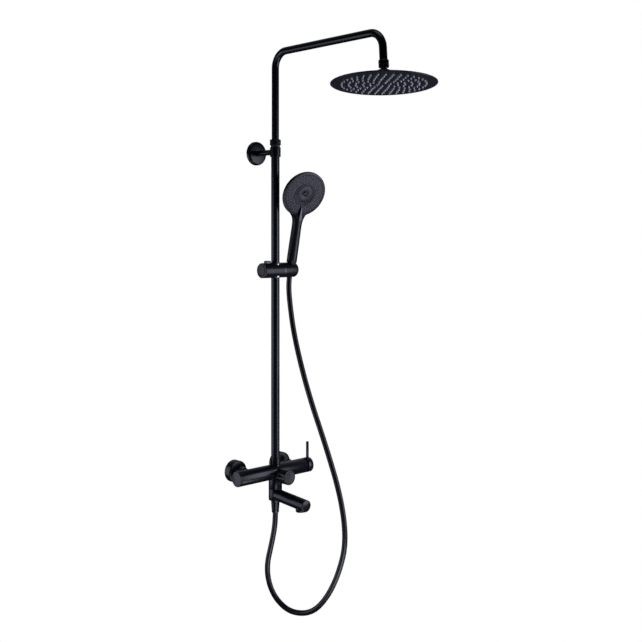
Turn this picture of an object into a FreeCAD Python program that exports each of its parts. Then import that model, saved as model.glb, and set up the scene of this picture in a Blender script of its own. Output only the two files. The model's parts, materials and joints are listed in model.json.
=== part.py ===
import FreeCAD, Part, Sketcher
import math
import os
from types import SimpleNamespace
from FreeCAD import Placement, Rotation, Vector

# Wall-mounted thermostat-free shower column: a bar mixer with a bath spout, a telescopic riser with a
# rain rose, and a sliding handset on a flexible hose. Millimetres.
# Origin: the point in the wall plane half way between the two water inlets. +Y goes into the wall,
# +X runs along the wall, +Z is up. The riser and the mixer barrel cross at Y = -wall_gap, Z = 0.

doc = FreeCAD.newDocument("ShowerColumn")

# ---------------------------------------------------------------- driving dimensions

DIMENSIONS = {
    # wall and mixer
    "wall_gap": 81,            # wall plane to riser axis
    "inlet_spacing": 150,      # standard distance between the two inlets
    "barrel_radius": 19.3,
    "barrel_left": 128,        # riser axis to the flat left end
    "barrel_right": 96.5,      # riser axis to the end of the fixed barrel
    "end_cap_thickness": 4,
    "escutcheon_radius": 28.5,
    "escutcheon_depth": 21,
    "inlet_thread_radius": 10.45,   # G1/2 tail that screws into the wall
    "inlet_thread_length": 18,
    "union_thread_radius": 13.1,    # G3/4 thread under the union nut
    "union_nut_width": 30,          # across flats
    "water_radius": 6,
    # mixing cartridge and handle
    "cartridge_radius": 13.5,
    "cartridge_start": 60,
    "handle_pivot": 90,
    "handle_start": 102,
    "handle_end": 118.3,
    "lever_radius": 3.75,
    "lever_top": 61.5,
    "lever_place": 111,
    # diverter
    "diverter_height": -7,
    "diverter_boss_radius": 17.7,
    "diverter_boss_front": 31.5,
    "diverter_knob_radius": 18.8,
    "diverter_knob_front": 57,
    # spout
    "hub_radius": 17.4,
    "hub_bottom": -43.7,
    "spigot_radius": 13,
    "swivel_top": -44.1,
    "swivel_bottom": -73.2,
    "spout_radius": 15.3,
    "spout_axis_height": -58.6,
    "spout_length": 120.4,
    "spout_slope": 4.16,
    "aerator_place": 98,
    "aerator_bottom": -85,
    # hose end at the mixer
    "nipple_bottom": -84,
    "hose_nut_top": -74.4,
    "hose_nut_bottom": -106,
    # riser
    "riser_radius": 11,
    "tube_wall": 1,
    "riser_bottom": 30,
    "riser_top": 840.5,
    "riser_nut_bottom": 19.8,
    "riser_nut_top": 37,
    "riser_nut_radius": 12.75,
    "running_gap": 0.05,
    # wall bracket
    "bracket_height": 828.3,
    "bracket_ring_half": 12.4,
    "bracket_ring_radius": 14,
    "bracket_stem_radius": 7.3,
    "rosette_radius": 31.3,
    "rosette_depth": 10,
    "screw_spacing": 28,
    "screw_radius": 2.3,
    "clamp_nut_bottom": 845.8,
    "clamp_nut_top": 860.6,
    "clamp_nut_radius": 14.3,
    # telescopic arm
    "arm_radius": 9.5,
    "arm_bottom": 560,
    "arm_corner_height": 1085.8,
    "arm_reach": 381.6,
    "arm_rise": 3.1,
    "arm_bend": 41,
    "outlet_lean": 3.7,
    "outlet_end": 73,          # corner of the outlet bend to the end of the tube
    # swivel joint and rose, measured down the outlet from the corner of the bend
    "ball_place": 82,
    "ball_radius": 10,
    "swivel_nut_radius": 12.3,
    "swivel_nut_top": 13.5,    # above the ball centre
    "swivel_nut_bottom": 4.3,  # below the ball centre
    "neck_radius": 7.7,
    "rose_hub_top": 8.5,       # below the ball centre
    "rose_hub_bottom": 39.4,
    "rose_radius": 125,
    "rose_roll": 3.1,
    "rose_plate": 1.2,
    "rose_sectors": 6,
    "rose_rings": 6,
    "rose_ring_pitch": 16.4,
    "rose_row_turn": 56,
    "nozzle_radius": 1.9,
    "nozzle_length": 3.6,
    # slider
    "slider_height": 521.7,
    "slider_radius": 19.5,
    "slider_left": 46.8,
    "slider_split": 20.2,
    "liner_radius": 13.45,
    "liner_half": 18.2,
    "holder_start": 21.3,
    "holder_end": 68.5,
    "handset_offset": 52,      # riser axis to the handset's axis
    "tab_place": 27,
    # handset, measured up its own axis from the pivot
    "handset_lean": 12,
    "handset_twist": -9.9,
    "cone_top": 20,
    "cone_bottom": -14,
    "cone_top_radius": 11,
    "cone_bottom_radius": 8.6,
    "handle_bottom": 19.9,
    "handle_radius": 13.5,
    "neck_height": 128,
    "face_height": 203.9,
    "face_forward": 17.8,
    "face_tilt": 13.3,
    "face_radius": 61.2,
    "head_rim": 9,
    "head_depth": 25,
    "tray_radius": 55,
    # hose
    "hose_radius": 7,
}

sheet = doc.addObject("Spreadsheet::Sheet", "Dims")
for row, (alias, number) in enumerate(DIMENSIONS.items(), start=1):
    sheet.set(f"A{row}", alias)
    sheet.set(f"B{row}", str(number))
    sheet.setAlias(f"B{row}", alias)
doc.recompute()


class Size:
    """A number together with the sheet formula that it comes from."""

    def __init__(self, number, formula=None):
        self.number = float(number)
        self.formula = formula or repr(float(number))

    def join(self, other, sign, number):
        return Size(number, f"({self.formula} {sign} {size(other).formula})")

    def __add__(self, other):
        return self.join(other, "+", self.number + size(other).number)

    def __sub__(self, other):
        return self.join(other, "-", self.number - size(other).number)

    def __mul__(self, other):
        return self.join(other, "*", self.number * size(other).number)

    def __truediv__(self, other):
        return self.join(other, "/", self.number / size(other).number)

    def __radd__(self, other):
        return size(other) + self

    def __rsub__(self, other):
        return size(other) - self

    def __rmul__(self, other):
        return size(other) * self

    def __neg__(self):
        return Size(-self.number, f"(0 - {self.formula})")


def size(value):
    return value if isinstance(value, Size) else Size(value)


def cosine(degrees):
    return Size(math.cos(math.radians(degrees.number)), f"cos({degrees.formula})")


def sine(degrees):
    return Size(math.sin(math.radians(degrees.number)), f"sin({degrees.formula})")


d = SimpleNamespace(**{alias: Size(number, f"Dims.{alias}") for alias, number in DIMENSIONS.items()})

UP = (0, 0, 1)
DOWN = (0, 0, -1)
RIGHT = (1, 0, 0)
FRONT = (0, -1, 0)
BACK = (0, 1, 0)
AXIS_Y = -d.wall_gap


# ---------------------------------------------------------------- helpers

def bind(thing, name, value):
    value = size(value)
    setattr(thing, name, value.number)
    thing.setExpression(name, value.formula)


def place(thing, point=(0, 0, 0), direction=UP, frame=None):
    """Stand the thing's own Z along direction at point; frame is a leaning assembly's placement."""
    point = [size(value) for value in point]
    rotation = Rotation(Vector(0, 0, 1), Vector(*direction))
    thing.Placement = Placement(Vector(*(value.number for value in point)), rotation)
    if frame is not None:
        thing.Placement = frame.multiply(thing.Placement)
        return thing
    for letter, value in zip("xyz", point):
        thing.setExpression(f"Placement.Base.{letter}", value.formula)
    return thing


def cylinder(name, radius, height, point, direction=UP, frame=None):
    solid = doc.addObject("Part::Cylinder", name)
    bind(solid, "Radius", radius)
    bind(solid, "Height", height)
    return place(solid, point, direction, frame)


def sphere(name, radius, point, frame=None):
    solid = doc.addObject("Part::Sphere", name)
    bind(solid, "Radius", radius)
    return place(solid, point, UP, frame)


def box(name, length, width, height, corner, frame=None):
    solid = doc.addObject("Part::Box", name)
    bind(solid, "Length", length)
    bind(solid, "Width", width)
    bind(solid, "Height", height)
    return place(solid, corner, UP, frame)


def fuse(name, shapes):
    joined = doc.addObject("Part::MultiFuse", name)
    joined.Shapes = shapes
    return joined


def cut(name, base, tools):
    result = doc.addObject("Part::Cut", name)
    result.Base = base
    result.Tool = tools[0] if len(tools) == 1 else fuse(name + "_tools", tools)
    return result


def compound(name, links):
    group = doc.addObject("Part::Compound", name)
    group.Links = links
    return group


def sketch_on(body, role, name):
    plane = next(item for item in body.Origin.OriginFeatures if item.Role == role)
    sketch = body.newObject("Sketcher::SketchObject", name)
    sketch.AttachmentSupport = [(plane, "")]
    sketch.MapMode = "FlatFace"
    return sketch


def outline(sketch, corners):
    """Closed outline of straight lines whose corners are held by the sheet's values."""
    corners = [(size(across), size(up)) for across, up in corners]
    points = [Vector(across.number, up.number, 0) for across, up in corners]
    first = sketch.GeometryCount
    for index, point in enumerate(points):
        sketch.addGeometry(Part.LineSegment(point, points[(index + 1) % len(points)]), False)
    for index in range(len(points)):
        following = first + (index + 1) % len(points)
        sketch.addConstraint(sketch_coincident(first + index, following))
    for index, (across, up) in enumerate(corners):
        hold(sketch, "DistanceX", first + index, across)
        hold(sketch, "DistanceY", first + index, up)


def sketch_coincident(line, following):
    return Sketcher.Constraint("Coincident", line, 2, following, 1)


def hold(sketch, kind, line, value):
    number = sketch.addConstraint(Sketcher.Constraint(kind, -1, 1, line, 1, value.number))
    sketch.setExpression(f"Constraints[{number}]", value.formula)


def turned(name, corners, point=(0, 0, 0), direction=UP, frame=None):
    """Lathe part: the outline's corners are (radius, height) on the part's own axis."""
    body = doc.addObject("PartDesign::Body", name)
    sketch = sketch_on(body, "XZ_Plane", name + "_profile")
    outline(sketch, corners)
    turn = body.newObject("PartDesign::Revolution", name + "_turn")
    turn.Profile = sketch
    turn.ReferenceAxis = (sketch, ["V_Axis"])
    turn.Angle = 360
    return place(body, point, direction, frame)


def ring(name, inner, outer, bottom, top, point=(0, 0, 0), direction=UP, frame=None):
    corners = [(inner, bottom), (outer, bottom), (outer, top), (inner, top)]
    return turned(name, corners, point, direction, frame)


def padded(name, corners, height, point=(0, 0, 0), direction=UP, frame=None):
    """Prism: the outline on the part's own XY plane, raised along its Z."""
    body = doc.addObject("PartDesign::Body", name)
    sketch = sketch_on(body, "XY_Plane", name + "_outline")
    outline(sketch, corners)
    pad = body.newObject("PartDesign::Pad", name + "_pad")
    pad.Profile = sketch
    bind(pad, "Length", height)
    return place(body, point, direction, frame)


def hexagon(name, width, height, point, direction=UP):
    side = size(width) / math.sqrt(3)
    corners = [(side * round(math.cos(math.radians(a)), 9), side * round(math.sin(math.radians(a)), 9))
               for a in range(0, 360, 60)]
    return padded(name, corners, height, point, direction)


def feature(name, shape, placement=None):
    """For a shape that no parametric feature makes; its sizes come from the sheet's values."""
    item = doc.addObject("Part::Feature", name)
    item.Shape = shape
    if placement is not None:
        item.Placement = placement
    return item


def coil(radius, wire, height, turns):
    """Compression spring of round wire, standing on Z = 0."""
    pitch = (height - wire) / turns
    helix = Part.makeHelix(pitch, height - wire, radius)
    section = Part.Wire(Part.makeCircle(wire / 2, Vector(radius, 0, 0), Vector(0, 1, 0)))
    spring = Part.Wire(helix).makePipeShell([section], True, True)
    spring.translate(Vector(0, 0, wire / 2))
    return spring


# ---------------------------------------------------------------- mixer barrel

def mixer_body():
    inlet_x = d.inlet_spacing / 2
    solids = [
        cylinder("barrel", d.barrel_radius, d.barrel_left - d.end_cap_thickness + d.barrel_right,
                 (d.end_cap_thickness - d.barrel_left, AXIS_Y, 0), RIGHT),
        cylinder("riser_collar", d.riser_nut_radius, d.riser_nut_bottom, (0, AXIS_Y, 0)),
        cylinder("riser_boss", 10.3, 28, (0, AXIS_Y, 0)),
        cylinder("diverter_boss", d.diverter_boss_radius, d.diverter_boss_front,
                 (0, AXIS_Y, d.diverter_height), FRONT),
        cylinder("spout_hub", d.hub_radius, -d.hub_bottom, (0, AXIS_Y, d.hub_bottom)),
    ]
    for side, sign in (("left", -1), ("right", 1)):
        solids.append(cylinder(f"inlet_tail_{side}", 11.4, d.wall_gap - 31, (inlet_x * sign, AXIS_Y, 0), BACK))
        solids.append(cylinder(f"inlet_flange_{side}", 13, 3, (inlet_x * sign, -34, 0), BACK))
    holes = [
        cylinder("cold_way", 9, 150, (12 - d.barrel_left, AXIS_Y, 0), RIGHT),
        cylinder("plug_seat", 12.1, 14, (d.end_cap_thickness - d.barrel_left - 1, AXIS_Y, 0), RIGHT),
        cylinder("cartridge_seat", d.cartridge_radius + 0.5, d.barrel_right - d.cartridge_start + 1,
                 (d.cartridge_start, AXIS_Y, 0), RIGHT),
        cylinder("riser_way", d.water_radius + 1, 30, (0, AXIS_Y, 0)),
        cylinder("spout_way", d.water_radius + 1, 45, (0, AXIS_Y, 0), DOWN),
        cylinder("spigot_seat", 12.05, 19, (0, AXIS_Y, d.hub_bottom - 1)),
        cylinder("diverter_seat", 12.1, d.diverter_boss_front - 7,
                 (0, AXIS_Y - 8, d.diverter_height), FRONT),
        cylinder("inlet_way_left", d.water_radius + 1, d.wall_gap, (-inlet_x, AXIS_Y, 0), BACK),
        cylinder("inlet_way_right", d.water_radius + 1, d.wall_gap - 15, (inlet_x, AXIS_Y + 14.1, 0), BACK),
    ]
    return cut("mixer_body", fuse("mixer_casting", solids), holes)


def left_end_cap():
    face = d.barrel_radius
    corners = [(0, 0), (face - 0.8, 0), (face, 0.8), (face, d.end_cap_thickness),
               (12, d.end_cap_thickness), (12, 14), (0, 14)]
    return turned("left_end_cap", corners, (-d.barrel_left, AXIS_Y, 0), RIGHT)


def cartridge_parts():
    start = d.cartridge_start
    turned("cartridge_body",
           [(0, 0), (d.cartridge_radius, 0), (d.cartridge_radius, 28), (8.2, 28), (8.2, 20), (0, 20)],
           (start, AXIS_Y, 0), RIGHT)
    ring("cartridge_nut", 9.6, 13.9, 28.2, 34.2, (start, AXIS_Y, 0), RIGHT)
    ring("cartridge_turret", 6.3, 8.1, 20.5, 31, (start, AXIS_Y, 0), RIGHT)
    shaft = cylinder("stem_shaft", 3.9, 22, (d.handle_pivot, AXIS_Y, 0), RIGHT)
    ball = place(sphere("stem_ball", 6.2, (0, 0, 0)), (d.handle_pivot, AXIS_Y, 0), RIGHT)
    fuse("cartridge_stem", [ball, shaft])


def dome_ring():
    # a domed cover centred on the handle's pivot, so the handle can tilt over it
    rise = d.barrel_right - d.handle_pivot
    return turned("dome_ring", [
        (9.6, rise + 0.1), (16.8, rise + 0.1), (16.8, rise + 0.6), (15.0, rise + 0.6), (13.4, rise + 3.2),
        (11.4, rise + 5.4), (8.6, rise + 7.4), (8.6, rise + 5.8), (9.6, rise + 4.6),
    ], (d.handle_pivot, AXIS_Y, 0), RIGHT)


def handle_parts():
    length = d.handle_end - d.handle_start
    radius = d.barrel_radius
    cup = turned("handle_cup", [
        (0, 8), (17.2, 8), (17.2, 0), (radius - 0.5, 0), (radius, 0.5), (radius, length - 1),
        (radius - 1, length), (0, length),
    ], (d.handle_start, AXIS_Y, 0), RIGHT)
    cut("handle_cap", cup, [
        cylinder("stem_hole", 3.95, 4.2, (d.handle_start + 7, AXIS_Y, 0), RIGHT),
        cylinder("lever_hole", d.lever_radius, 30, (d.lever_place + 1.2, AXIS_Y, 8)),
        cylinder("set_screw_hole", 2.5, 30, (d.lever_place + 1.2, AXIS_Y, -30)),
    ])
    top = d.lever_top
    turned("lever_pin", [
        (0, 8.2), (d.lever_radius - 0.05, 8.2), (d.lever_radius - 0.05, top - 0.8),
        (d.lever_radius - 0.85, top), (0, top),
    ], (d.lever_place + 1.2, AXIS_Y, 0))
    cylinder("handle_set_screw", 2.45, 12, (d.lever_place + 1.2, AXIS_Y, -18))


# ---------------------------------------------------------------- diverter

def diverter_parts():
    centre = (0, AXIS_Y, d.diverter_height)
    boss = d.diverter_boss_front
    knob = d.diverter_knob_radius
    ring("diverter_cartridge", 4.2, 12, 9, boss - 0.5, centre, FRONT)
    turned("diverter_spindle", [(0, 12), (4.1, 12), (4.1, 48), (0, 48)], centre, FRONT)
    turned("diverter_knob", [
        (4.15, boss + 8), (14, boss + 8), (14, boss + 1.2), (knob - 0.6, boss + 1.2), (knob, boss + 1.8),
        (knob, d.diverter_knob_front - 1), (knob - 1, d.diverter_knob_front), (0, d.diverter_knob_front),
        (0, 48.1), (4.15, 48.1),
    ], centre, FRONT)


# ---------------------------------------------------------------- spout and hose outlet

def outlet_spigot():
    seat_top = d.hub_bottom + 17.5
    turned("outlet_spigot", [
        (6, seat_top), (12, seat_top), (12, d.hub_bottom - 0.2), (d.spigot_radius, d.hub_bottom - 0.2),
        (d.spigot_radius, -49), (11.6, -49), (11.6, -51.4), (d.spigot_radius, -51.4),
        (d.spigot_radius, -67), (11.6, -67), (11.6, -69.4), (d.spigot_radius, -69.4),
        (d.spigot_radius, d.swivel_bottom - 0.5), (10.2, d.swivel_bottom - 0.5),
        (10.2, d.nipple_bottom), (6, d.nipple_bottom),
    ], (0, AXIS_Y, 0))


def spout_orings():
    rings = []
    for name, height in (("oring_upper", -50.2), ("oring_lower", -68.2)):
        torus = doc.addObject("Part::Torus", name)
        bind(torus, "Radius1", 12.3)
        bind(torus, "Radius2", 0.68)
        rings.append(place(torus, (0, AXIS_Y, height)))
    return compound("spout_orings", rings)


def spout():
    slope = math.radians(d.spout_slope.number)
    forward = (0, -math.cos(slope), -math.sin(slope))
    start = 14
    root = (0, AXIS_Y - start * math.cos(slope), d.spout_axis_height - start * math.sin(slope))
    hub_height = d.swivel_top - d.swivel_bottom
    hub = turned("swivel_hub", [
        (0, 0), (d.hub_radius - 1.2, 0), (d.hub_radius, 1.2), (d.hub_radius, hub_height), (0, hub_height),
    ], (0, AXIS_Y, d.swivel_bottom))
    length = d.spout_length - start
    pipe = turned("spout_pipe", [
        (0, 0), (d.spout_radius, 0), (d.spout_radius, length - 1.2), (d.spout_radius - 1.2, length),
        (0, length),
    ], root, forward)
    port_height = 17
    port = (0, AXIS_Y - d.aerator_place, d.aerator_bottom + 3.6)
    boss = cylinder("aerator_boss", 12.6, port_height - 6, port)
    return cut("spout", fuse("spout_casting", [hub, pipe, boss]), [
        cylinder("swivel_bore", d.spigot_radius + d.running_gap, 40, (0, AXIS_Y, d.swivel_bottom - 1)),
        cylinder("spout_bore", 11, length - 2.5, root, forward),
        cylinder("aerator_bore", 10.5, port_height, (0, AXIS_Y - d.aerator_place, d.aerator_bottom)),
    ])


def aerator_parts():
    centre = (0, AXIS_Y - d.aerator_place, d.aerator_bottom)
    turned("aerator_housing", [
        (9, 0), (11.4, 0), (12.2, 0.8), (12.2, 2.6), (10.4, 2.6), (10.4, 11), (9, 11),
    ], centre)
    ring("aerator_insert", 1.2, 8.95, 1, 9, centre)


def hose_outlet_parts():
    nipple = 10.2
    top = d.hose_nut_top
    bottom = d.hose_nut_bottom
    turned("hose_nut_lower", [
        (nipple + 0.05, top), (11.3, top), (11.3, top - 3), (11, top - 3.6), (9.3, bottom + 1), (9, bottom),
        (4, bottom), (4, d.nipple_bottom - 2.4), (nipple + 0.05, d.nipple_bottom - 2.4),
    ], (0, AXIS_Y, 0))
    return ring("hose_washer", 4.5, 9.8, d.nipple_bottom - 2.3, d.nipple_bottom - 0.1, (0, AXIS_Y, 0))


# ---------------------------------------------------------------- wall inlets

def inlet_parts(hose_washer):
    inlet_x = d.inlet_spacing / 2
    nuts = []
    washers = [hose_washer]
    valves = []
    for side, sign in (("left", -1), ("right", 1)):
        x = inlet_x * sign
        turned(f"eccentric_union_{side}", [
            (7, -29), (d.union_thread_radius, -29), (d.union_thread_radius, -13), (12, -12),
            (12, -1), (d.inlet_thread_radius, -1), (d.inlet_thread_radius, d.inlet_thread_length),
            (7, d.inlet_thread_length),
        ], (x, 0, 0), BACK)
        turned(f"escutcheon_{side}", [
            (13.3, -d.escutcheon_depth), (d.escutcheon_radius - 1, -d.escutcheon_depth),
            (d.escutcheon_radius, 1 - d.escutcheon_depth), (d.escutcheon_radius, 0),
            (d.escutcheon_radius - 1.5, 0), (d.escutcheon_radius - 1.5, 2 - d.escutcheon_depth),
            (13.3, 2 - d.escutcheon_depth),
        ], (x, 0, 0), BACK)
        blank = hexagon(f"union_blank_{side}", d.union_nut_width, 22.6, (x, -44, 0), BACK)
        nuts.append(cut(f"union_nut_{side}", blank, [
            cylinder(f"union_thread_{side}", d.union_thread_radius + 0.02, 20, (x, -38, 0), BACK),
            cylinder(f"union_hole_{side}", 11.45, 30, (x, -50, 0), BACK),
        ]))
        washers.append(ring(f"filter_washer_{side}", 6, 12.9, -30.9, -29.1, (x, 0, 0), BACK))
        valves.append(ring(f"check_valve_{side}", 3, 6.9, -50, -36, (x, 0, 0), BACK))
    compound("inlet_union_nuts", nuts)
    compound("sealing_washers", washers)
    compound("check_valves", valves)


# ---------------------------------------------------------------- riser and bracket

def riser_parts():
    turned("riser_nut", [
        (10.35, d.riser_nut_bottom + 0.1), (d.riser_nut_radius - 0.8, d.riser_nut_bottom + 0.1),
        (d.riser_nut_radius, d.riser_nut_bottom + 0.9),
        (d.riser_nut_radius, d.riser_nut_top - 1), (d.riser_nut_radius - 1, d.riser_nut_top),
        (d.riser_radius + 0.02, d.riser_nut_top), (d.riser_radius + 0.02, d.riser_bottom - 1.5),
        (10.35, d.riser_bottom - 1.5),
    ], (0, AXIS_Y, 0))
    inner = d.riser_radius - d.tube_wall
    ring("riser_tube", inner, d.riser_radius, d.riser_bottom, d.riser_top, (0, AXIS_Y, 0))
    ring("guide_bush", d.arm_radius + d.running_gap, inner - 0.02, d.riser_top - 60, d.riser_top,
         (0, AXIS_Y, 0))


def clamp_parts():
    ring_top = d.bracket_height + d.bracket_ring_half
    collet = ring("collet_blank", d.arm_radius + 0.06, 11.9, ring_top + 0.1, d.clamp_nut_top - 4, (0, AXIS_Y, 0))
    slots = []
    for number, angle in enumerate((0, 45, 90, 135)):
        slot = box(f"collet_slot_{number}", 30, 1, 12, (0, 0, 0))
        turn = Rotation(Vector(0, 0, 1), angle)
        corner = Vector(0, AXIS_Y.number, d.clamp_nut_top.number - 14) + turn.multVec(Vector(-15, -0.5, 0))
        slot.Placement = Placement(corner, turn)
        slots.append(slot)
    cut("clamp_collet", collet, slots)
    nut = d.clamp_nut_radius
    turned("clamp_nut", [
        (12, d.clamp_nut_bottom), (nut - 0.7, d.clamp_nut_bottom), (nut, d.clamp_nut_bottom + 0.7),
        (nut, d.clamp_nut_top - 0.7), (nut - 0.7, d.clamp_nut_top), (d.arm_radius + 0.3, d.clamp_nut_top),
        (d.arm_radius + 0.3, d.clamp_nut_top - 2.5), (12, d.clamp_nut_top - 3.5),
    ], (0, AXIS_Y, 0))


def bracket_parts():
    height = d.bracket_height
    half = d.bracket_ring_half
    collar = d.bracket_ring_radius
    ring_top = height + half
    solid = turned("bracket_collar", [
        (0, height - half), (collar - 0.8, height - half), (collar, height - half + 0.8),
        (collar, ring_top - 0.8), (collar - 0.8, ring_top), (0, ring_top),
    ], (0, AXIS_Y, 0))
    stem = cylinder("bracket_stem", d.bracket_stem_radius, d.wall_gap - 8, (0, AXIS_Y, height), BACK)
    cut("bracket_arm", fuse("bracket_casting", [solid, stem]), [
        cylinder("bracket_hole", d.riser_radius + 0.02, 60, (0, AXIS_Y, height - 30)),
    ])
    rosette = d.rosette_radius
    depth = d.rosette_depth
    turned("bracket_rosette", [
        (d.bracket_stem_radius + 0.1, -depth), (rosette - 5, -depth), (rosette - 1.6, 1.4 - depth),
        (rosette, 4 - depth), (rosette, 0), (rosette - 1.5, 0), (rosette - 1.5, 4.5 - depth),
        (rosette - 5.5, 1.5 - depth), (d.bracket_stem_radius + 0.1, 1.5 - depth),
    ], (0, 0, height), BACK)
    plate = turned("plate_blank", [(0, -4), (22, -4), (22, 0), (0, 0)], (0, 0, height), BACK)
    boss = cylinder("plate_boss", d.bracket_stem_radius, 7.9, (0, -7.9, height), BACK)
    half_spacing = d.screw_spacing / 2
    screws = []
    holes = []
    for side, sign in (("left", -1), ("right", 1)):
        x = half_spacing * sign
        holes.append(cylinder(f"screw_hole_{side}", d.screw_radius, 12, (x, -9, height), BACK))
        screws.append(turned(f"wall_screw_{side}", [
            (0, -6.2), (3.8, -6.2), (4.1, -4.05), (1.9, -4.05), (1.9, 1.5), (2.1, 1.5), (2.1, 13), (0, 16),
        ], (x, 0, height), BACK))
    cut("wall_plate", fuse("plate_with_boss", [plate, boss]), holes)
    compound("wall_screws", screws)


# ---------------------------------------------------------------- telescopic arm

def rounded_route(points, radii):
    """Straight runs through the points, joined by tangent arcs of the given radii."""
    edges = []
    start = points[0]
    for index, radius in enumerate(radii, start=1):
        before = (points[index] - points[index - 1]).normalize()
        after = (points[index + 1] - points[index]).normalize()
        half_turn = before.getAngle(after) / 2
        reach = radius * math.tan(half_turn)
        entry = points[index] - before * reach
        leave = points[index] + after * reach
        inward = (after - before).normalize()
        centre = points[index] + inward * (radius / math.cos(half_turn))
        middle = centre - inward * radius
        edges.append(Part.LineSegment(start, entry))
        edges.append(Part.Arc(entry, middle, leave))
        start = leave
    edges.append(Part.LineSegment(start, points[-1]))
    return edges


def pipe_shape(edges, radius):
    path = Part.Wire([edge.toShape() for edge in edges])
    start = edges[0].StartPoint
    along = (edges[0].EndPoint - start).normalize()
    section = Part.Wire(Part.makeCircle(radius, start, along))
    return path.makePipeShell([section], True, False), path.Length


def arm_parts():
    gap = -d.wall_gap.number
    lean = math.radians(d.outlet_lean.number)
    corner = Vector(0, gap, d.arm_corner_height.number)
    outer_corner = corner + Vector(0, -d.arm_reach.number, d.arm_rise.number)
    down = Vector(0, -math.sin(lean), -math.cos(lean))
    points = [Vector(0, gap, d.arm_bottom.number), corner, outer_corner,
              outer_corner + down * d.outlet_end.number]
    edges = rounded_route(points, [d.arm_bend.number] * 2)
    outside, length = pipe_shape(edges, d.arm_radius.number)
    inside, length = pipe_shape(edges, d.arm_radius.number - d.tube_wall.number)
    feature("arm_tube", outside.cut(inside))
    inner = d.riser_radius - d.tube_wall
    ring("sliding_seal", 6, inner - d.running_gap, d.arm_bottom - 14, d.arm_bottom - 0.3, (0, AXIS_Y, 0))
    ball = outer_corner + down * d.ball_place.number
    return Placement(ball, Rotation(Vector(0, 0, 1), down * -1))


def swivel_parts(joint):
    """joint: placement with its origin in the ball's centre and +Z up the outlet."""
    nut = d.swivel_nut_radius
    ball = d.ball_radius
    turned("swivel_nut", [
        (9.25, -d.swivel_nut_bottom), (nut - 0.7, -d.swivel_nut_bottom), (nut, 0.7 - d.swivel_nut_bottom),
        (nut, d.swivel_nut_top - 1), (nut - 1, d.swivel_nut_top), (d.arm_radius + 0.02, d.swivel_nut_top),
        (d.arm_radius + 0.02, 8.8), (ball + 0.35, 8.8), (ball + 0.35, -0.5), (9.95, -2.6),
    ], frame=joint)
    ring("ball_slip_ring", 7.8, ball + 0.3, 7, 8.7, frame=joint)
    roll = joint.multiply(Placement(Vector(), Rotation(Vector(0, 1, 0), d.rose_roll.number)))
    solid = fuse("ball_and_neck", [
        sphere("ball", ball, (0, 0, 0), roll),
        cylinder("ball_neck", d.neck_radius, 19, (0, 0, -22), UP, roll),
    ])
    cut("ball_stem", solid, [
        cylinder("ball_way", 4.5, 24, (0, 0, -23), UP, roll),
        cylinder("ball_mouth", 5.2, 14, (0, 0, 0), UP, roll),
    ])
    return roll


def rose_parts(roll):
    top = -d.rose_hub_top
    bottom = -d.rose_hub_bottom
    plate = d.rose_plate
    radius = d.rose_radius
    turned("rose_hub", [
        (d.neck_radius + 0.02, top), (10, top), (16, top - 2.6), (24, top - 9), (30, top - 20),
        (32, bottom), (d.neck_radius + 0.02, bottom),
    ], frame=roll)
    turned("rose_top_plate", [
        (0, bottom - 0.02), (radius - 2, bottom - 0.02), (radius, bottom - 0.8), (radius, bottom - 2.9),
        (radius - 1.2, bottom - 2.9), (radius - 1.2, bottom - plate), (d.neck_radius, bottom - plate),
        (d.neck_radius, bottom - 0.9), (0, bottom - 0.9),
    ], frame=roll)
    turned_face("rose_face_plate", radius - 1.3, bottom - 3.9, plate, d.nozzle_radius + 0.1, roll)
    nozzle_mat("rose_nozzles", radius - 12, bottom - 2.6, 1.1, d.nozzle_radius, d.nozzle_length + 1.3, roll)


def nozzle_sector(sketch, radius):
    """One sector's circles: every ring has one more of them than the ring inside it."""
    sector = size(360) / d.rose_sectors
    for ring_number in range(1, int(d.rose_rings.number) + 1):
        across = d.rose_ring_pitch * ring_number
        for step in range(ring_number):
            turn = d.rose_row_turn - sector * step / ring_number
            x = across * cosine(turn)
            y = across * sine(turn)
            circle = Part.Circle(Vector(x.number, y.number, 0), Vector(0, 0, 1), radius.number)
            number = sketch.addGeometry(circle, False)
            for constraint, value in (("DistanceX", x), ("DistanceY", y)):
                held = sketch.addConstraint(Sketcher.Constraint(constraint, -1, 1, number, 3, value.number))
                sketch.setExpression(f"Constraints[{held}]", value.formula)
            width = sketch.addConstraint(Sketcher.Constraint("Radius", number, radius.number))
            sketch.setExpression(f"Constraints[{width}]", radius.formula)


def pattern(body, feature_name, sketch, count):
    rows = body.newObject("PartDesign::PolarPattern", body.Name + "_rows")
    rows.Originals = [feature_name]
    rows.Axis = (sketch, ["N_Axis"])
    rows.Angle = 360
    rows.Occurrences = int(size(count).number)
    rows.setExpression("Occurrences", size(count).formula)
    body.Tip = rows


def turned_face(name, radius, bottom, thickness, hole, frame):
    """Face disc with a hole for every nozzle."""
    body = doc.addObject("PartDesign::Body", name)
    disc = sketch_on(body, "XY_Plane", name + "_disc")
    circle_sketch(disc, radius)
    pad = body.newObject("PartDesign::Pad", name + "_pad")
    pad.Profile = disc
    bind(pad, "Length", thickness)
    holes = sketch_on(body, "XY_Plane", name + "_holes")
    nozzle_sector(holes, hole)
    pocket = body.newObject("PartDesign::Pocket", name + "_pocket")
    pocket.Profile = holes
    pocket.Type = "ThroughAll"
    pocket.Midplane = True
    pattern(body, pocket, holes, d.rose_sectors)
    return place(body, (0, 0, bottom), UP, frame)


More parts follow.
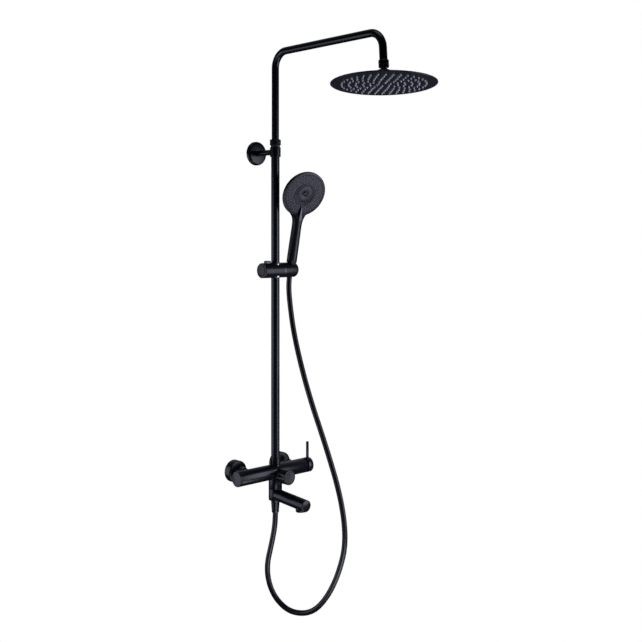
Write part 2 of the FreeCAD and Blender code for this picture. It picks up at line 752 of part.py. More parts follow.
def nozzle_mat(name, radius, bottom, thickness, nozzle, length, frame):
    """Soft mat behind the face whose nozzles stick out through it."""
    body = doc.addObject("PartDesign::Body", name)
    disc = sketch_on(body, "XY_Plane", name + "_disc")
    circle_sketch(disc, radius)
    pad = body.newObject("PartDesign::Pad", name + "_pad")
    pad.Profile = disc
    bind(pad, "Length", thickness)
    row = sketch_on(body, "XY_Plane", name + "_row")
    nozzle_sector(row, nozzle)
    pins = body.newObject("PartDesign::Pad", name + "_pins")
    pins.Profile = row
    bind(pins, "Length", length)
    pins.Reversed = True
    pattern(body, pins, row, d.rose_sectors)
    return place(body, (0, 0, bottom), UP, frame)


def circle_sketch(sketch, radius):
    radius = size(radius)
    number = sketch.addGeometry(Part.Circle(Vector(0, 0, 0), Vector(0, 0, 1), radius.number), False)
    sketch.addConstraint(Sketcher.Constraint("Coincident", number, 3, -1, 1))
    width = sketch.addConstraint(Sketcher.Constraint("Radius", number, radius.number))
    sketch.setExpression(f"Constraints[{width}]", radius.formula)


# ---------------------------------------------------------------- slider

def slider_parts():
    height = d.slider_height
    radius = d.slider_radius
    liner = d.liner_radius
    left = d.slider_left - 3.6
    ring("slider_liner", d.riser_radius + d.running_gap, liner, height - d.liner_half,
         height + d.liner_half, (0, AXIS_Y, 0))
    barrel = turned("slider_barrel", [
        (0, 0), (radius, 0), (radius, left + d.slider_split), (0, left + d.slider_split),
    ], (-left, AXIS_Y, height), RIGHT)
    cut("slider_body", barrel, [
        cylinder("liner_hole", liner + 0.06, 60, (0, AXIS_Y, height - 30)),
        cylinder("brake_bore", 12, left - 11, (-left - 1, AXIS_Y, height), RIGHT),
        box("tab_hole", 16.4, 11.4, 16, (-d.tab_place - 8.2, AXIS_Y - 5.7, height + 9)),
        cylinder("bolt_hole", 4.05, 10, (12, AXIS_Y, height), RIGHT),
    ])
    turned("slider_end_cap", [
        (0, -0.6), (15.6, -0.6), (16, -0.2), (16, 0), (radius - 1.2, 0), (radius, 1.2), (radius, 3.5),
        (11.9, 3.5), (11.9, 7), (0, 7),
    ], (-d.slider_left, AXIS_Y, height), RIGHT)
    spring_seat = height + 3
    cut("brake_shoe", cylinder("shoe_round", 11.8, 25, (-d.tab_place - 12.6, AXIS_Y, height), RIGHT), [
        box("shoe_flat", 18, 24, 8, (-d.tab_place - 9, AXIS_Y - 12, height + 7)),
        cylinder("spring_pocket", 3.9, 10, (-d.tab_place, AXIS_Y, spring_seat)),
    ])
    tab = box("tab_block", 15.8, 10.8, 14.2, (-d.tab_place - 7.9, AXIS_Y - 5.4, height + 10.6))
    tab_fillet = doc.addObject("Part::Fillet", "release_tab")
    tab_fillet.Base = tab
    tab_fillet.Edges = [(number, 1.6, 1.6) for number in (2, 6, 10, 12)]
    spring = coil(2.8, 0.9, 6.9, 4)
    feature("release_spring", spring,
            Placement(Vector(-d.tab_place.number, AXIS_Y.number, spring_seat.number + 0.5), Rotation()))
    ring("friction_ring", 5.2, radius - 0.9, d.slider_split + 0.1, d.holder_start - 0.15,
         (0, AXIS_Y, height), RIGHT)
    turned("pivot_bolt", [(0, 14.2), (4, 14.2), (4, 31), (7, 31), (7, 34.5), (0, 34.5)],
           (0, AXIS_Y, height), RIGHT)


def holder(lean):
    """lean: placement of the handset's axis, with its origin on the slider's own axis."""
    height = d.slider_height
    radius = d.slider_radius
    end = d.holder_end
    solid = turned("holder_barrel", [
        (0, d.holder_start), (radius, d.holder_start), (radius, end - 8), (radius - 0.6, end - 5),
        (radius - 2.3, end - 2.4), (radius - 4.9, end - 0.6), (radius - 8, end), (0, end),
    ], (0, AXIS_Y, height), RIGHT)
    gap = 0.25
    cone = turned("cone_seat", [
        (0, d.cone_bottom - 0.5), (d.cone_bottom_radius + gap, d.cone_bottom - 0.5),
        (d.cone_top_radius + gap, d.cone_top), (d.cone_top_radius + gap + 3, d.cone_top + 12),
        (0, d.cone_top + 12),
    ], frame=lean)
    mouth = turned("hose_mouth", [
        (0, -32), (13, -32), (8.7, d.cone_bottom - 2), (8.7, d.cone_bottom + 2), (0, d.cone_bottom + 2),
    ], frame=lean)
    cut("holder", solid, [
        cone, mouth,
        cylinder("bolt_clearance", 5, 12, (d.holder_start - 1, AXIS_Y, height), RIGHT),
        cylinder("bolt_head_room", 7.4, 14, (d.holder_start + 9.4, AXIS_Y, height), RIGHT),
    ])


# ---------------------------------------------------------------- handset

def hose_cone_nut(lean):
    turned("hose_cone_nut", [
        (4, d.cone_bottom), (d.cone_bottom_radius - 0.6, d.cone_bottom), (d.cone_bottom_radius, d.cone_bottom + 0.6),
        (d.cone_top_radius, d.cone_top - 1.2), (d.cone_top_radius, d.cone_top - 0.8), (4, d.cone_top - 0.8),
    ], frame=lean)


def ellipse_section(width, depth, centre, tilt):
    """Closed ellipse across the handle, leaning with the head."""
    curve = Part.Ellipse(Vector(0, 0, 0), max(width, depth), min(width, depth))
    edge = curve.toShape()
    if depth > width:
        edge.rotate(Vector(0, 0, 0), Vector(0, 0, 1), 90)
    edge.rotate(Vector(0, 0, 0), Vector(1, 0, 0), tilt)
    edge.translate(centre)
    return Part.Wire(edge)


def handset_shell(twist, face):
    """twist: the handle's axis; face: the spray face's centre with +Z out of its back."""
    handle = turned("handset_grip", [
        (0, d.handle_bottom), (d.handle_radius - 0.8, d.handle_bottom), (d.handle_radius, d.handle_bottom + 0.8),
        (d.handle_radius, 60), (12.8, d.neck_height), (0, d.neck_height),
    ], frame=twist)
    radius = d.face_radius
    rim = d.head_rim
    head = turned("handset_head", [
        (0, 0), (radius - 1.5, 0), (radius, 1.5), (radius, rim - 2), (radius - 1.6, rim + 0.6),
        (radius - 8, rim + 4.6), (radius * 0.68, d.head_depth - 7), (radius * 0.4, d.head_depth - 2),
        (radius * 0.2, d.head_depth), (0, d.head_depth),
    ], frame=face)
    sections = [
        ellipse_section(12.8, 12.81, Vector(0, 0, d.neck_height.number - 12), 0),
        ellipse_section(14.6, 12.2, Vector(0, -0.5, d.neck_height.number + 4), 0),
        ellipse_section(24, 11, Vector(0, -2.6, d.neck_height.number + 24), 0),
        ellipse_section(38, 9.5, Vector(0, -5.2, d.neck_height.number + 42), 0),
    ]
    neck = feature("handset_neck", Part.makeLoft(sections, True), twist)
    slot = padded("button_slot", [(-5.1, 53), (5.1, 53), (5.1, 69.5), (-5.1, 69.5)], 12, (0, 0, -16.3), UP, face)
    cut("handset_shell", fuse("handset_casting", [handle, neck, head]), [
        cylinder("handle_way", 7, 90, (0, 0, d.handle_bottom - 1), UP, twist),
        cylinder("neck_way", 5.5, 62, (0, 0, 100), (0, 0.055, 1), twist),
        cylinder("spray_tray", d.tray_radius, 32, (0, 0, -20), UP, face),
        slot,
    ])


def spray_parts(face):
    tray = d.tray_radius
    ring("mode_plate", 3, tray - 0.2, 8, 11.7, frame=face)
    turned("spray_faceplate", [
        (0, -0.2), (9, -0.6), (9.6, 0), (22.5, 0), (23, 0.9), (25.8, 0.9), (26.3, 0), (30, 0), (30, 1.6),
        (53.4, 1.6), (53.4, 0.2), (tray - 0.4, 0.2), (tray - 0.4, 7.7), (0, 7.7),
    ], frame=face)
    body = doc.addObject("PartDesign::Body", "handset_nozzles")
    mat = sketch_on(body, "XY_Plane", "spray_mat")
    circle_sketch(mat, 53.2)
    circle_sketch(mat, 30.2)
    pad = body.newObject("PartDesign::Pad", "spray_mat_pad")
    pad.Profile = mat
    bind(pad, "Length", 1)
    row = sketch_on(body, "XY_Plane", "spray_row")
    circle_row(row, 0.9, [33.5, 38.5, 43.5, 48.5])
    pins = body.newObject("PartDesign::Pad", "spray_pins")
    pins.Profile = row
    bind(pins, "Length", 1.4)
    pins.Reversed = True
    pattern(body, pins, row, 30)
    place(body, (0, 0, 0.55), UP, face)


def mode_button(face):
    """Dagger-shaped push button: it runs from the handle's front up over the foot of the spray face."""
    outline_pad = padded("button_outline", [(-1.2, 34), (1.2, 34), (4.7, 60), (4.7, 69), (-4.7, 69), (-4.7, 60)],
                         14, (0, 0, -14), UP, face)
    side = doc.addObject("PartDesign::Body", "button_side")
    sketch = sketch_on(side, "YZ_Plane", "button_profile")
    outline(sketch, [(34, -1.9), (34, -2.8), (50, -7.2), (69, -12.6), (69, -7), (54.8, -6.5), (54.2, -1.9)])
    pad = side.newObject("PartDesign::Pad", "button_width")
    pad.Profile = sketch
    bind(pad, "Length", 12)
    pad.Midplane = True
    place(side, frame=face)
    button = doc.addObject("Part::MultiCommon", "mode_button")
    button.Shapes = [outline_pad, side]


def circle_row(sketch, radius, places):
    for across in places:
        number = sketch.addGeometry(Part.Circle(Vector(across, 0, 0), Vector(0, 0, 1), radius), False)
        sketch.addConstraint(Sketcher.Constraint("PointOnObject", number, 3, -1))
        sketch.addConstraint(Sketcher.Constraint("DistanceX", -1, 1, number, 3, across))
        sketch.addConstraint(Sketcher.Constraint("Radius", number, radius))


# ---------------------------------------------------------------- hose

def hose(lean):
    """Flexible hose, 14 mm thick, from the nut under the mixer round a hanging loop to the cone nut."""
    axis = Vector(0, -d.wall_gap.number, 0)
    cone_end = lean.multVec(Vector(0, 0, d.cone_bottom.number))
    straight = lean.multVec(Vector(0, 0, d.cone_bottom.number - 22))
    points = [axis + Vector(*point) for point in (
        (0, 0, d.hose_nut_bottom.number), (0, 0, -136), (-5, 9, -189), (-11, 22, -247), (-9, 15, -296),
        (0.5, -7, -335), (17.5, -45, -360), (42, -97, -352), (60.5, -136, -303), (74, -164, -234),
        (81, -180, -158), (76, -168, -55), (64.5, -128, 65), (53, -68, 205), (52.3, -15, 345),
        (52.5, 4.5, 441),
    )] + [straight, cone_end]
    radii = []
    for before, point, after in zip(points, points[1:], points[2:]):
        turn = (point - before).getAngle(after - point)
        shorter = min((point - before).Length, (after - point).Length)
        radii.append(0.45 * shorter / math.tan(turn / 2))
    edges = rounded_route(points, radii)
    tube, length = pipe_shape(edges, d.hose_radius.number)
    section = math.pi * d.hose_radius.number ** 2
    print("hose runs", [round((b - a).Length) for a, b in zip(points, points[1:])])
    print("hose radii", [round(radius) for radius in radii])
    print("hose length", round(length), "volume over section x length", round(tube.Volume / section / length, 5))
    feature("shower_hose", tube)


# ---------------------------------------------------------------- build

mixer_body()
left_end_cap()
cartridge_parts()
dome_ring()
handle_parts()
diverter_parts()
outlet_spigot()
spout_orings()
spout()
aerator_parts()
inlet_parts(hose_outlet_parts())
riser_parts()
clamp_parts()
bracket_parts()
ball_joint = arm_parts()
rolled = swivel_parts(ball_joint)
rose_parts(rolled)
slider_parts()

pivot = Vector(d.handset_offset.number, -d.wall_gap.number, d.slider_height.number)
leaning = Placement(pivot, Rotation(Vector(1, 0, 0), d.handset_lean.number))
twisted = leaning.multiply(Placement(Vector(), Rotation(Vector(0, 0, 1), d.handset_twist.number)))
face_back = Rotation(Vector(1, 0, 0), -90 + d.face_tilt.number)
face = twisted.multiply(Placement(Vector(0, -d.face_forward.number, d.face_height.number), face_back))
holder(leaning)
hose_cone_nut(leaning)
handset_shell(twisted, face)
spray_parts(face)
mode_button(face)
hose(leaning)

NODES = [
    "mixer_body", "left_end_cap", "cartridge_body", "cartridge_nut", "cartridge_turret", "cartridge_stem",
    "dome_ring", "handle_cap", "lever_pin", "handle_set_screw",
    "diverter_cartridge", "diverter_spindle", "diverter_knob",
    "outlet_spigot", "spout_orings", "spout", "aerator_housing", "aerator_insert",
    "hose_nut_lower",
    "eccentric_union_left", "eccentric_union_right", "escutcheon_left", "escutcheon_right",
    "inlet_union_nuts", "sealing_washers", "check_valves",
    "riser_nut", "riser_tube", "guide_bush", "clamp_collet", "clamp_nut",
    "bracket_arm", "bracket_rosette", "wall_plate", "wall_screws",
    "arm_tube", "sliding_seal", "swivel_nut", "ball_slip_ring", "ball_stem",
    "rose_hub", "rose_top_plate", "rose_face_plate", "rose_nozzles",
    "slider_liner", "slider_body", "slider_end_cap", "brake_shoe", "release_tab", "release_spring",
    "friction_ring", "pivot_bolt", "holder",
    "hose_cone_nut", "handset_shell", "mode_plate", "spray_faceplate", "handset_nozzles", "mode_button",
    "shower_hose",
]

doc.recompute()
for item in doc.Objects:
    if "Invalid" in item.State or "Error" in item.State:
        raise SystemExit(f"{item.Label} failed: {item.State}")

os.makedirs("parts", exist_ok=True)
for node in NODES:
    shape = doc.getObject(node).Shape
    if shape.isNull() or not shape.isValid() or not shape.Solids:
        raise SystemExit(f"{node} has no valid solid")
    shape.exportStep(f"parts/{node}.step")
    print(f"{node:24s} {len(shape.Solids)} solids {shape.Volume:12.1f} mm3")
print(len(NODES), "nodes")
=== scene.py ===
import json
import math
import bmesh
import bpy
from mathutils import Matrix, Vector


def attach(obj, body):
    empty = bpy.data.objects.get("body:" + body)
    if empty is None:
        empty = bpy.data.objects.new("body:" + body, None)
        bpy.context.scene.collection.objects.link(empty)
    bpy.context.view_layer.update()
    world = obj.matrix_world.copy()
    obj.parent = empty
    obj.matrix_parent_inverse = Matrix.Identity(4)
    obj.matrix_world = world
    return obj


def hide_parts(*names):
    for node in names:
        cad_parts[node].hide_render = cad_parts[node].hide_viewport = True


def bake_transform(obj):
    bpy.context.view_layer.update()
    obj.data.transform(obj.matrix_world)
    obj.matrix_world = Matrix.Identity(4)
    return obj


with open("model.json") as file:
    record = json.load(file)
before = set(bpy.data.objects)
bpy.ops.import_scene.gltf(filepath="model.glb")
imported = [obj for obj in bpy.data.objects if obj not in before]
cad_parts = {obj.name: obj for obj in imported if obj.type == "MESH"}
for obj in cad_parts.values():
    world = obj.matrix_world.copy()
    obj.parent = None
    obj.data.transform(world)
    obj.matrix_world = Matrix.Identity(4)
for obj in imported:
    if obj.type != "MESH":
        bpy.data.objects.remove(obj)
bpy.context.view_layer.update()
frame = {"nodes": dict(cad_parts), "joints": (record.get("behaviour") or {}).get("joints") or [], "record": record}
joints = {joint["name"]: joint for joint in frame["joints"]}
print("frame loaded,", len(frame["nodes"]), "nodes")


# camera, light and floor

cameraSetup = {
    "place": (-1.704, -2.082, 0.632),
    "turn": -43.0,  # degrees, looking level
    "lens": 56.73,
    "sensor": 36.0,
    "shiftY": -0.1453,
}


def makeCamera(setup):
    data = bpy.data.cameras.new("camera")
    data.lens = setup["lens"]
    data.sensor_width = setup["sensor"]
    data.shift_y = setup["shiftY"]
    camera = bpy.data.objects.new("camera", data)
    camera.location = setup["place"]
    camera.rotation_euler = (math.radians(90), 0, math.radians(setup["turn"]))
    bpy.context.scene.collection.objects.link(camera)
    bpy.context.scene.camera = camera


makeCamera(cameraSetup)
bpy.context.scene.view_settings.view_transform = "Standard"

studio = {
    "backdrop": (1.0, 1.0, 1.0),
    "backdropStrength": 1.0,
    "roomColour": (0.80, 0.86, 1.0),
    "roomFront": 0.012,  # what the dark side of the room, behind the camera, gives off
    "roomBack": 0.34,    # and the backdrop side
    "fadeStart": 0.1,    # cosine of the angle from the backdrop where the room starts to brighten
    "floorHeight": -0.62,
    "floorRadius": 14.0,
    "floorColour": (0.08, 0.08, 0.085),  # for light that falls on it; the camera sees the backdrop's white
    "lightColour": (0.78, 0.82, 1.0),
    "lights": {
        # name: place, aims at, width, height, watts
        "stripLeft": ((-1.23, 0.59, 0.0), (0.0, -0.08, 0.0), 1.43, 1.55, 9.6),
        "stripRight": ((0.66, -1.24, 0.26), (0.0, -0.08, 0.26), 0.85, 1.30, 9.8),
        "softboxLow": ((-0.1, -0.75, -0.56), (0.0, -0.43, 0.93), 0.7, 0.7, 5.2),
        "softboxTop": ((-0.2, -0.5, 2.8), (0.0, -0.2, 0.2), 1.8, 0.9, 6.0),
    },
}


def makeStudio(setup):
    world = bpy.data.worlds.new("studio")
    bpy.context.scene.world = world
    world.use_nodes = True
    tree = world.node_tree
    nodes, links = tree.nodes, tree.links
    nodes.clear()
    seen = nodes.new("ShaderNodeBackground")
    seen.inputs["Color"].default_value = (*setup["backdrop"], 1)
    seen.inputs["Strength"].default_value = setup["backdropStrength"]
    # the room is dark on one side and brightens towards the backdrop
    place = nodes.new("ShaderNodeTexCoord")
    facing = nodes.new("ShaderNodeVectorMath")
    facing.operation = "DOT_PRODUCT"
    turn = math.radians(-cameraSetup["turn"])
    facing.inputs[1].default_value = (math.sin(turn), math.cos(turn), 0)
    links.new(place.outputs["Object"], facing.inputs[0])
    fade = nodes.new("ShaderNodeMapRange")
    fade.interpolation_type = "SMOOTHSTEP"
    fade.inputs["From Min"].default_value = setup["fadeStart"]
    fade.inputs["From Max"].default_value = 1.0
    fade.inputs["To Min"].default_value = setup["roomFront"]
    fade.inputs["To Max"].default_value = setup["roomBack"]
    links.new(facing.outputs["Value"], fade.inputs["Value"])
    room = nodes.new("ShaderNodeBackground")
    room.inputs["Color"].default_value = (*setup["roomColour"], 1)
    links.new(fade.outputs["Result"], room.inputs["Strength"])
    ray = nodes.new("ShaderNodeLightPath")
    mix = nodes.new("ShaderNodeMixShader")
    output = nodes.new("ShaderNodeOutputWorld")
    links.new(ray.outputs["Is Camera Ray"], mix.inputs["Fac"])
    links.new(room.outputs[0], mix.inputs[1])
    links.new(seen.outputs[0], mix.inputs[2])
    links.new(mix.outputs[0], output.inputs["Surface"])
    for name, (place, aim, width, height, watts) in setup["lights"].items():
        data = bpy.data.lights.new(name, "AREA")
        data.shape = "RECTANGLE"
        data.size, data.size_y = width, height
        data.energy = watts
        data.color = setup["lightColour"]
        light = bpy.data.objects.new(name, data)
        light.location = place
        light.rotation_mode = "QUATERNION"
        light.rotation_quaternion = (Vector(aim) - Vector(place)).to_track_quat("-Z", "Y")
        light.visible_camera = False
        bpy.context.scene.collection.objects.link(light)


def makeFloor(setup):
    mesh = bpy.data.meshes.new("floor")
    work = bmesh.new()
    bmesh.ops.create_circle(work, cap_ends=True, segments=64, radius=setup["floorRadius"])
    bmesh.ops.translate(work, verts=work.verts, vec=(0, 0, setup["floorHeight"]))
    work.to_mesh(mesh)
    work.free()
    floor = bpy.data.objects.new("floor", mesh)
    bpy.context.scene.collection.objects.link(floor)
    paint = bpy.data.materials.new("studioFloor")
    paint.use_nodes = True
    nodes, links = paint.node_tree.nodes, paint.node_tree.links
    shader = nodes["Principled BSDF"]
    shader.inputs["Base Color"].default_value = (*setup["floorColour"], 1)
    shader.inputs["Roughness"].default_value = 0.9
    glow = nodes.new("ShaderNodeEmission")
    glow.inputs["Color"].default_value = (*setup["backdrop"], 1)
    glow.inputs["Strength"].default_value = setup["backdropStrength"]
    ray = nodes.new("ShaderNodeLightPath")
    mix = nodes.new("ShaderNodeMixShader")
    links.new(ray.outputs["Is Camera Ray"], mix.inputs["Fac"])
    links.new(shader.outputs[0], mix.inputs[1])
    links.new(glow.outputs[0], mix.inputs[2])
    links.new(mix.outputs[0], nodes["Material Output"].inputs["Surface"])
    mesh.materials.append(paint)


makeStudio(studio)
makeFloor(studio)
print("camera and studio ready")


# shader groups

def newGroup(name, inputs, outputs):
    group = bpy.data.node_groups.new(name, "ShaderNodeTree")
    for label, kind, value in inputs:
        socket = group.interface.new_socket(label, in_out="INPUT", socket_type=kind)
        if value is not None:
            socket.default_value = value
    for label, kind in outputs:
        group.interface.new_socket(label, in_out="OUTPUT", socket_type=kind)
    start = group.nodes.new("NodeGroupInput")
    end = group.nodes.new("NodeGroupOutput")
    return group, start, end


def mathNode(tree, operation, first, second=None, clamp=False):
    node = tree.nodes.new("ShaderNodeMath")
    node.operation = operation
    node.use_clamp = clamp
    for place, value in enumerate((first, second)):
        if value is None:
            continue
        if isinstance(value, (int, float)):
            node.inputs[place].default_value = value
        else:
            tree.links.new(value, node.inputs[place])
    return node.outputs[0]


def noiseNode(tree, vector, scale, detail=3.0, roughness=0.5):
    node = tree.nodes.new("ShaderNodeTexNoise")
    node.inputs["Detail"].default_value = detail
    node.inputs["Roughness"].default_value = roughness
    tree.links.new(vector, node.inputs["Vector"])
    if isinstance(scale, (int, float)):
        node.inputs["Scale"].default_value = scale
    else:
        tree.links.new(scale, node.inputs["Scale"])
    return node.outputs["Fac"]


wearSizes = {
    "driftScale": 22.0, "smearScale": 140.0,
    "dropScale": 120.0, "dropRadius": 0.32, "dropThinness": 14.0, "dropPatch": 0.56,
    "dropPale": 0.35, "dropRough": 0.25, "dropHeight": 0.08,
    "edgeStart": 0.56, "edgeRise": 9.0,
}


def makeSurfaceGroup(sizes):
    # fine grain of a coat or moulding, slow drift of its gloss, and fine dried drops
    group, start, end = newGroup("surfaceWear", [
        ("Vector", "NodeSocketVector", None),
        ("Colour", "NodeSocketColor", (0.02, 0.02, 0.02, 1)),
        ("Worn Colour", "NodeSocketColor", (0.05, 0.05, 0.05, 1)),
        ("Roughness", "NodeSocketFloat", 0.3),
        ("Grain Scale", "NodeSocketFloat", 900.0),
        ("Grain Depth", "NodeSocketFloat", 0.2),
        ("Gloss Drift", "NodeSocketFloat", 0.06),
        ("Drops", "NodeSocketFloat", 0.3),
        ("Edge Wear", "NodeSocketFloat", 0.3),
    ], [("Colour", "NodeSocketColor"), ("Roughness", "NodeSocketFloat"), ("Height", "NodeSocketFloat")])
    vector = start.outputs["Vector"]
    grain = noiseNode(group, vector, start.outputs["Grain Scale"], 2.0, 0.55)
    drift = noiseNode(group, vector, sizes["driftScale"], 3.0, 0.6)
    smear = noiseNode(group, vector, sizes["smearScale"], 2.0, 0.5)
    # dried drops: thin rings round scattered points
    cells = group.nodes.new("ShaderNodeTexVoronoi")
    cells.feature = "F1"
    cells.inputs["Scale"].default_value = sizes["dropScale"]
    cells.inputs["Randomness"].default_value = 1.0
    group.links.new(vector, cells.inputs["Vector"])
    offset = mathNode(group, "SUBTRACT", cells.outputs["Distance"], sizes["dropRadius"])
    ring = mathNode(group, "ABSOLUTE", offset)
    spread = mathNode(group, "MULTIPLY", ring, sizes["dropThinness"])
    thin = mathNode(group, "SUBTRACT", 1.0, spread, clamp=True)
    patch = mathNode(group, "GREATER_THAN", drift, sizes["dropPatch"])
    drops = mathNode(group, "MULTIPLY", mathNode(group, "MULTIPLY", thin, patch), start.outputs["Drops"])
    # edges rubbed a little paler
    geometry = group.nodes.new("ShaderNodeNewGeometry")
    raised = mathNode(group, "SUBTRACT", geometry.outputs["Pointiness"], sizes["edgeStart"])
    edge = mathNode(group, "MULTIPLY", raised, sizes["edgeRise"], clamp=True)
    worn = mathNode(group, "MULTIPLY", mathNode(group, "MULTIPLY", edge, smear), start.outputs["Edge Wear"])
    pale = mathNode(group, "MULTIPLY", drops, sizes["dropPale"])
    mask = mathNode(group, "ADD", worn, pale, clamp=True)
    mix = group.nodes.new("ShaderNodeMix")
    mix.data_type = "RGBA"
    group.links.new(mask, mix.inputs["Factor"])
    group.links.new(start.outputs["Colour"], mix.inputs[6])
    group.links.new(start.outputs["Worn Colour"], mix.inputs[7])
    group.links.new(mix.outputs[2], end.inputs["Colour"])
    shift = mathNode(group, "MULTIPLY", mathNode(group, "SUBTRACT", drift, 0.5), start.outputs["Gloss Drift"])
    wide = mathNode(group, "MULTIPLY", shift, 2.0)
    rough = mathNode(group, "ADD", mathNode(group, "ADD", start.outputs["Roughness"], wide),
                     mathNode(group, "MULTIPLY", drops, sizes["dropRough"]), clamp=True)
    group.links.new(rough, end.inputs["Roughness"])
    height = mathNode(group, "ADD", mathNode(group, "MULTIPLY", grain, start.outputs["Grain Depth"]),
                      mathNode(group, "MULTIPLY", drops, sizes["dropHeight"]))
    group.links.new(height, end.inputs["Height"])
    return group


surfaceWear = makeSurfaceGroup(wearSizes)

finishes = {
    "black_coat": {
        "colour": (0.0040, 0.0044, 0.0078), "worn": (0.035, 0.036, 0.044), "roughness": 0.27, "metallic": 0.0,
        "coat": 0.0, "grainScale": 1400, "grainDepth": 0.06, "glossDrift": 0.02, "drops": 0.06,
        "edgeWear": 0.2,
    },
    "dome_black": {
        "colour": (0.0036, 0.0038, 0.0060), "worn": (0.03, 0.03, 0.034), "roughness": 0.30, "metallic": 0.0,
        "coat": 0.0, "grainScale": 1400, "grainDepth": 0.06, "glossDrift": 0.02, "drops": 0.06,
        "edgeWear": 0.2,
    },
    "brass": {
        "colour": (0.66, 0.47, 0.22), "worn": (0.80, 0.62, 0.36), "roughness": 0.28, "metallic": 1.0,
        "coat": 0.0, "grainScale": 700, "grainDepth": 0.25, "glossDrift": 0.10, "drops": 0.3, "edgeWear": 0.5,
    },
    "cartridge_plastic": {
        "colour": (0.72, 0.72, 0.69), "worn": (0.80, 0.80, 0.78), "roughness": 0.42, "metallic": 0.0,
        "coat": 0.0, "grainScale": 500, "grainDepth": 0.20, "glossDrift": 0.06, "drops": 0.1, "edgeWear": 0.3,
    },
    "steel": {
        "colour": (0.50, 0.50, 0.51), "worn": (0.66, 0.66, 0.67), "roughness": 0.30, "metallic": 1.0,
        "coat": 0.0, "grainScale": 900, "grainDepth": 0.25, "glossDrift": 0.08, "drops": 0.1, "edgeWear": 0.5,
    },
    "spring_steel": {
        "colour": (0.55, 0.56, 0.58), "worn": (0.70, 0.70, 0.71), "roughness": 0.26, "metallic": 1.0,
        "coat": 0.0, "grainScale": 1300, "grainDepth": 0.25, "glossDrift": 0.06, "drops": 0.0,
        "edgeWear": 0.5,
    },
    "black_rubber": {
        "colour": (0.018, 0.018, 0.018), "worn": (0.05, 0.05, 0.05), "roughness": 0.62, "metallic": 0.0,
        "coat": 0.0, "grainScale": 800, "grainDepth": 0.30, "glossDrift": 0.08, "drops": 0.1, "edgeWear": 0.3,
    },
    "guide_plastic": {
        "colour": (0.05, 0.05, 0.055), "worn": (0.10, 0.10, 0.10), "roughness": 0.40, "metallic": 0.0,
        "coat": 0.0, "grainScale": 700, "grainDepth": 0.25, "glossDrift": 0.06, "drops": 0.0, "edgeWear": 0.3,
    },
    "black_plastic": {
        "colour": (0.0052, 0.0056, 0.0092), "worn": (0.04, 0.04, 0.048), "roughness": 0.34, "metallic": 0.0,
        "coat": 0.0, "grainScale": 1600, "grainDepth": 0.06, "glossDrift": 0.02, "drops": 0.06,
        "edgeWear": 0.2,
    },
    "gloss_black": {
        "colour": (0.0025, 0.0025, 0.0040), "worn": (0.03, 0.03, 0.032), "roughness": 0.10, "metallic": 0.0,
        "coat": 0.6, "grainScale": 600, "grainDepth": 0.06, "glossDrift": 0.02, "drops": 0.06,
        "edgeWear": 0.2,
    },
    "rose_face": {
        "colour": (0.024, 0.0225, 0.032), "worn": (0.06, 0.06, 0.07), "roughness": 0.40, "metallic": 0.0,
        "coat": 0.0, "grainScale": 1200, "grainDepth": 0.06, "glossDrift": 0.02, "drops": 0.06,
        "edgeWear": 0.2,
    },
    "grey_silicone": {
        "colour": (0.72, 0.72, 0.76), "worn": (0.70, 0.70, 0.72), "roughness": 0.50, "metallic": 0.0,
        "coat": 0.0, "grainScale": 900, "grainDepth": 0.20, "glossDrift": 0.05, "drops": 0.1, "edgeWear": 0.2,
    },
    "handset_face": {
        "colour": (0.0045, 0.0047, 0.0072), "worn": (0.05, 0.05, 0.055), "roughness": 0.36, "metallic": 0.0,
        "coat": 0.0, "grainScale": 1400, "grainDepth": 0.06, "glossDrift": 0.02, "drops": 0.06,
        "edgeWear": 0.2,
    },
    "dark_silicone": {
        "colour": (0.22, 0.225, 0.25), "worn": (0.25, 0.25, 0.27), "roughness": 0.45, "metallic": 0.0,
        "coat": 0.0, "grainScale": 900, "grainDepth": 0.20, "glossDrift": 0.05, "drops": 0.1, "edgeWear": 0.2,
    },
    "aerator_mesh": {
        "colour": (0.10, 0.10, 0.105), "worn": (0.20, 0.20, 0.21), "roughness": 0.40, "metallic": 0.0,
        "coat": 0.0, "grainScale": 900, "grainDepth": 0.20, "glossDrift": 0.05, "drops": 0.1, "edgeWear": 0.3,
    },
    "hose": {
        "colour": (0.0040, 0.0042, 0.0066), "worn": (0.04, 0.04, 0.045), "roughness": 0.30, "metallic": 0.0,
        "coat": 0.0, "grainScale": 900, "grainDepth": 0.06, "glossDrift": 0.02, "drops": 0.06,
        "edgeWear": 0.0,
    },
}
bumpStrength = 0.3
bumpDistance = 0.00004
coatRoughness = 0.06


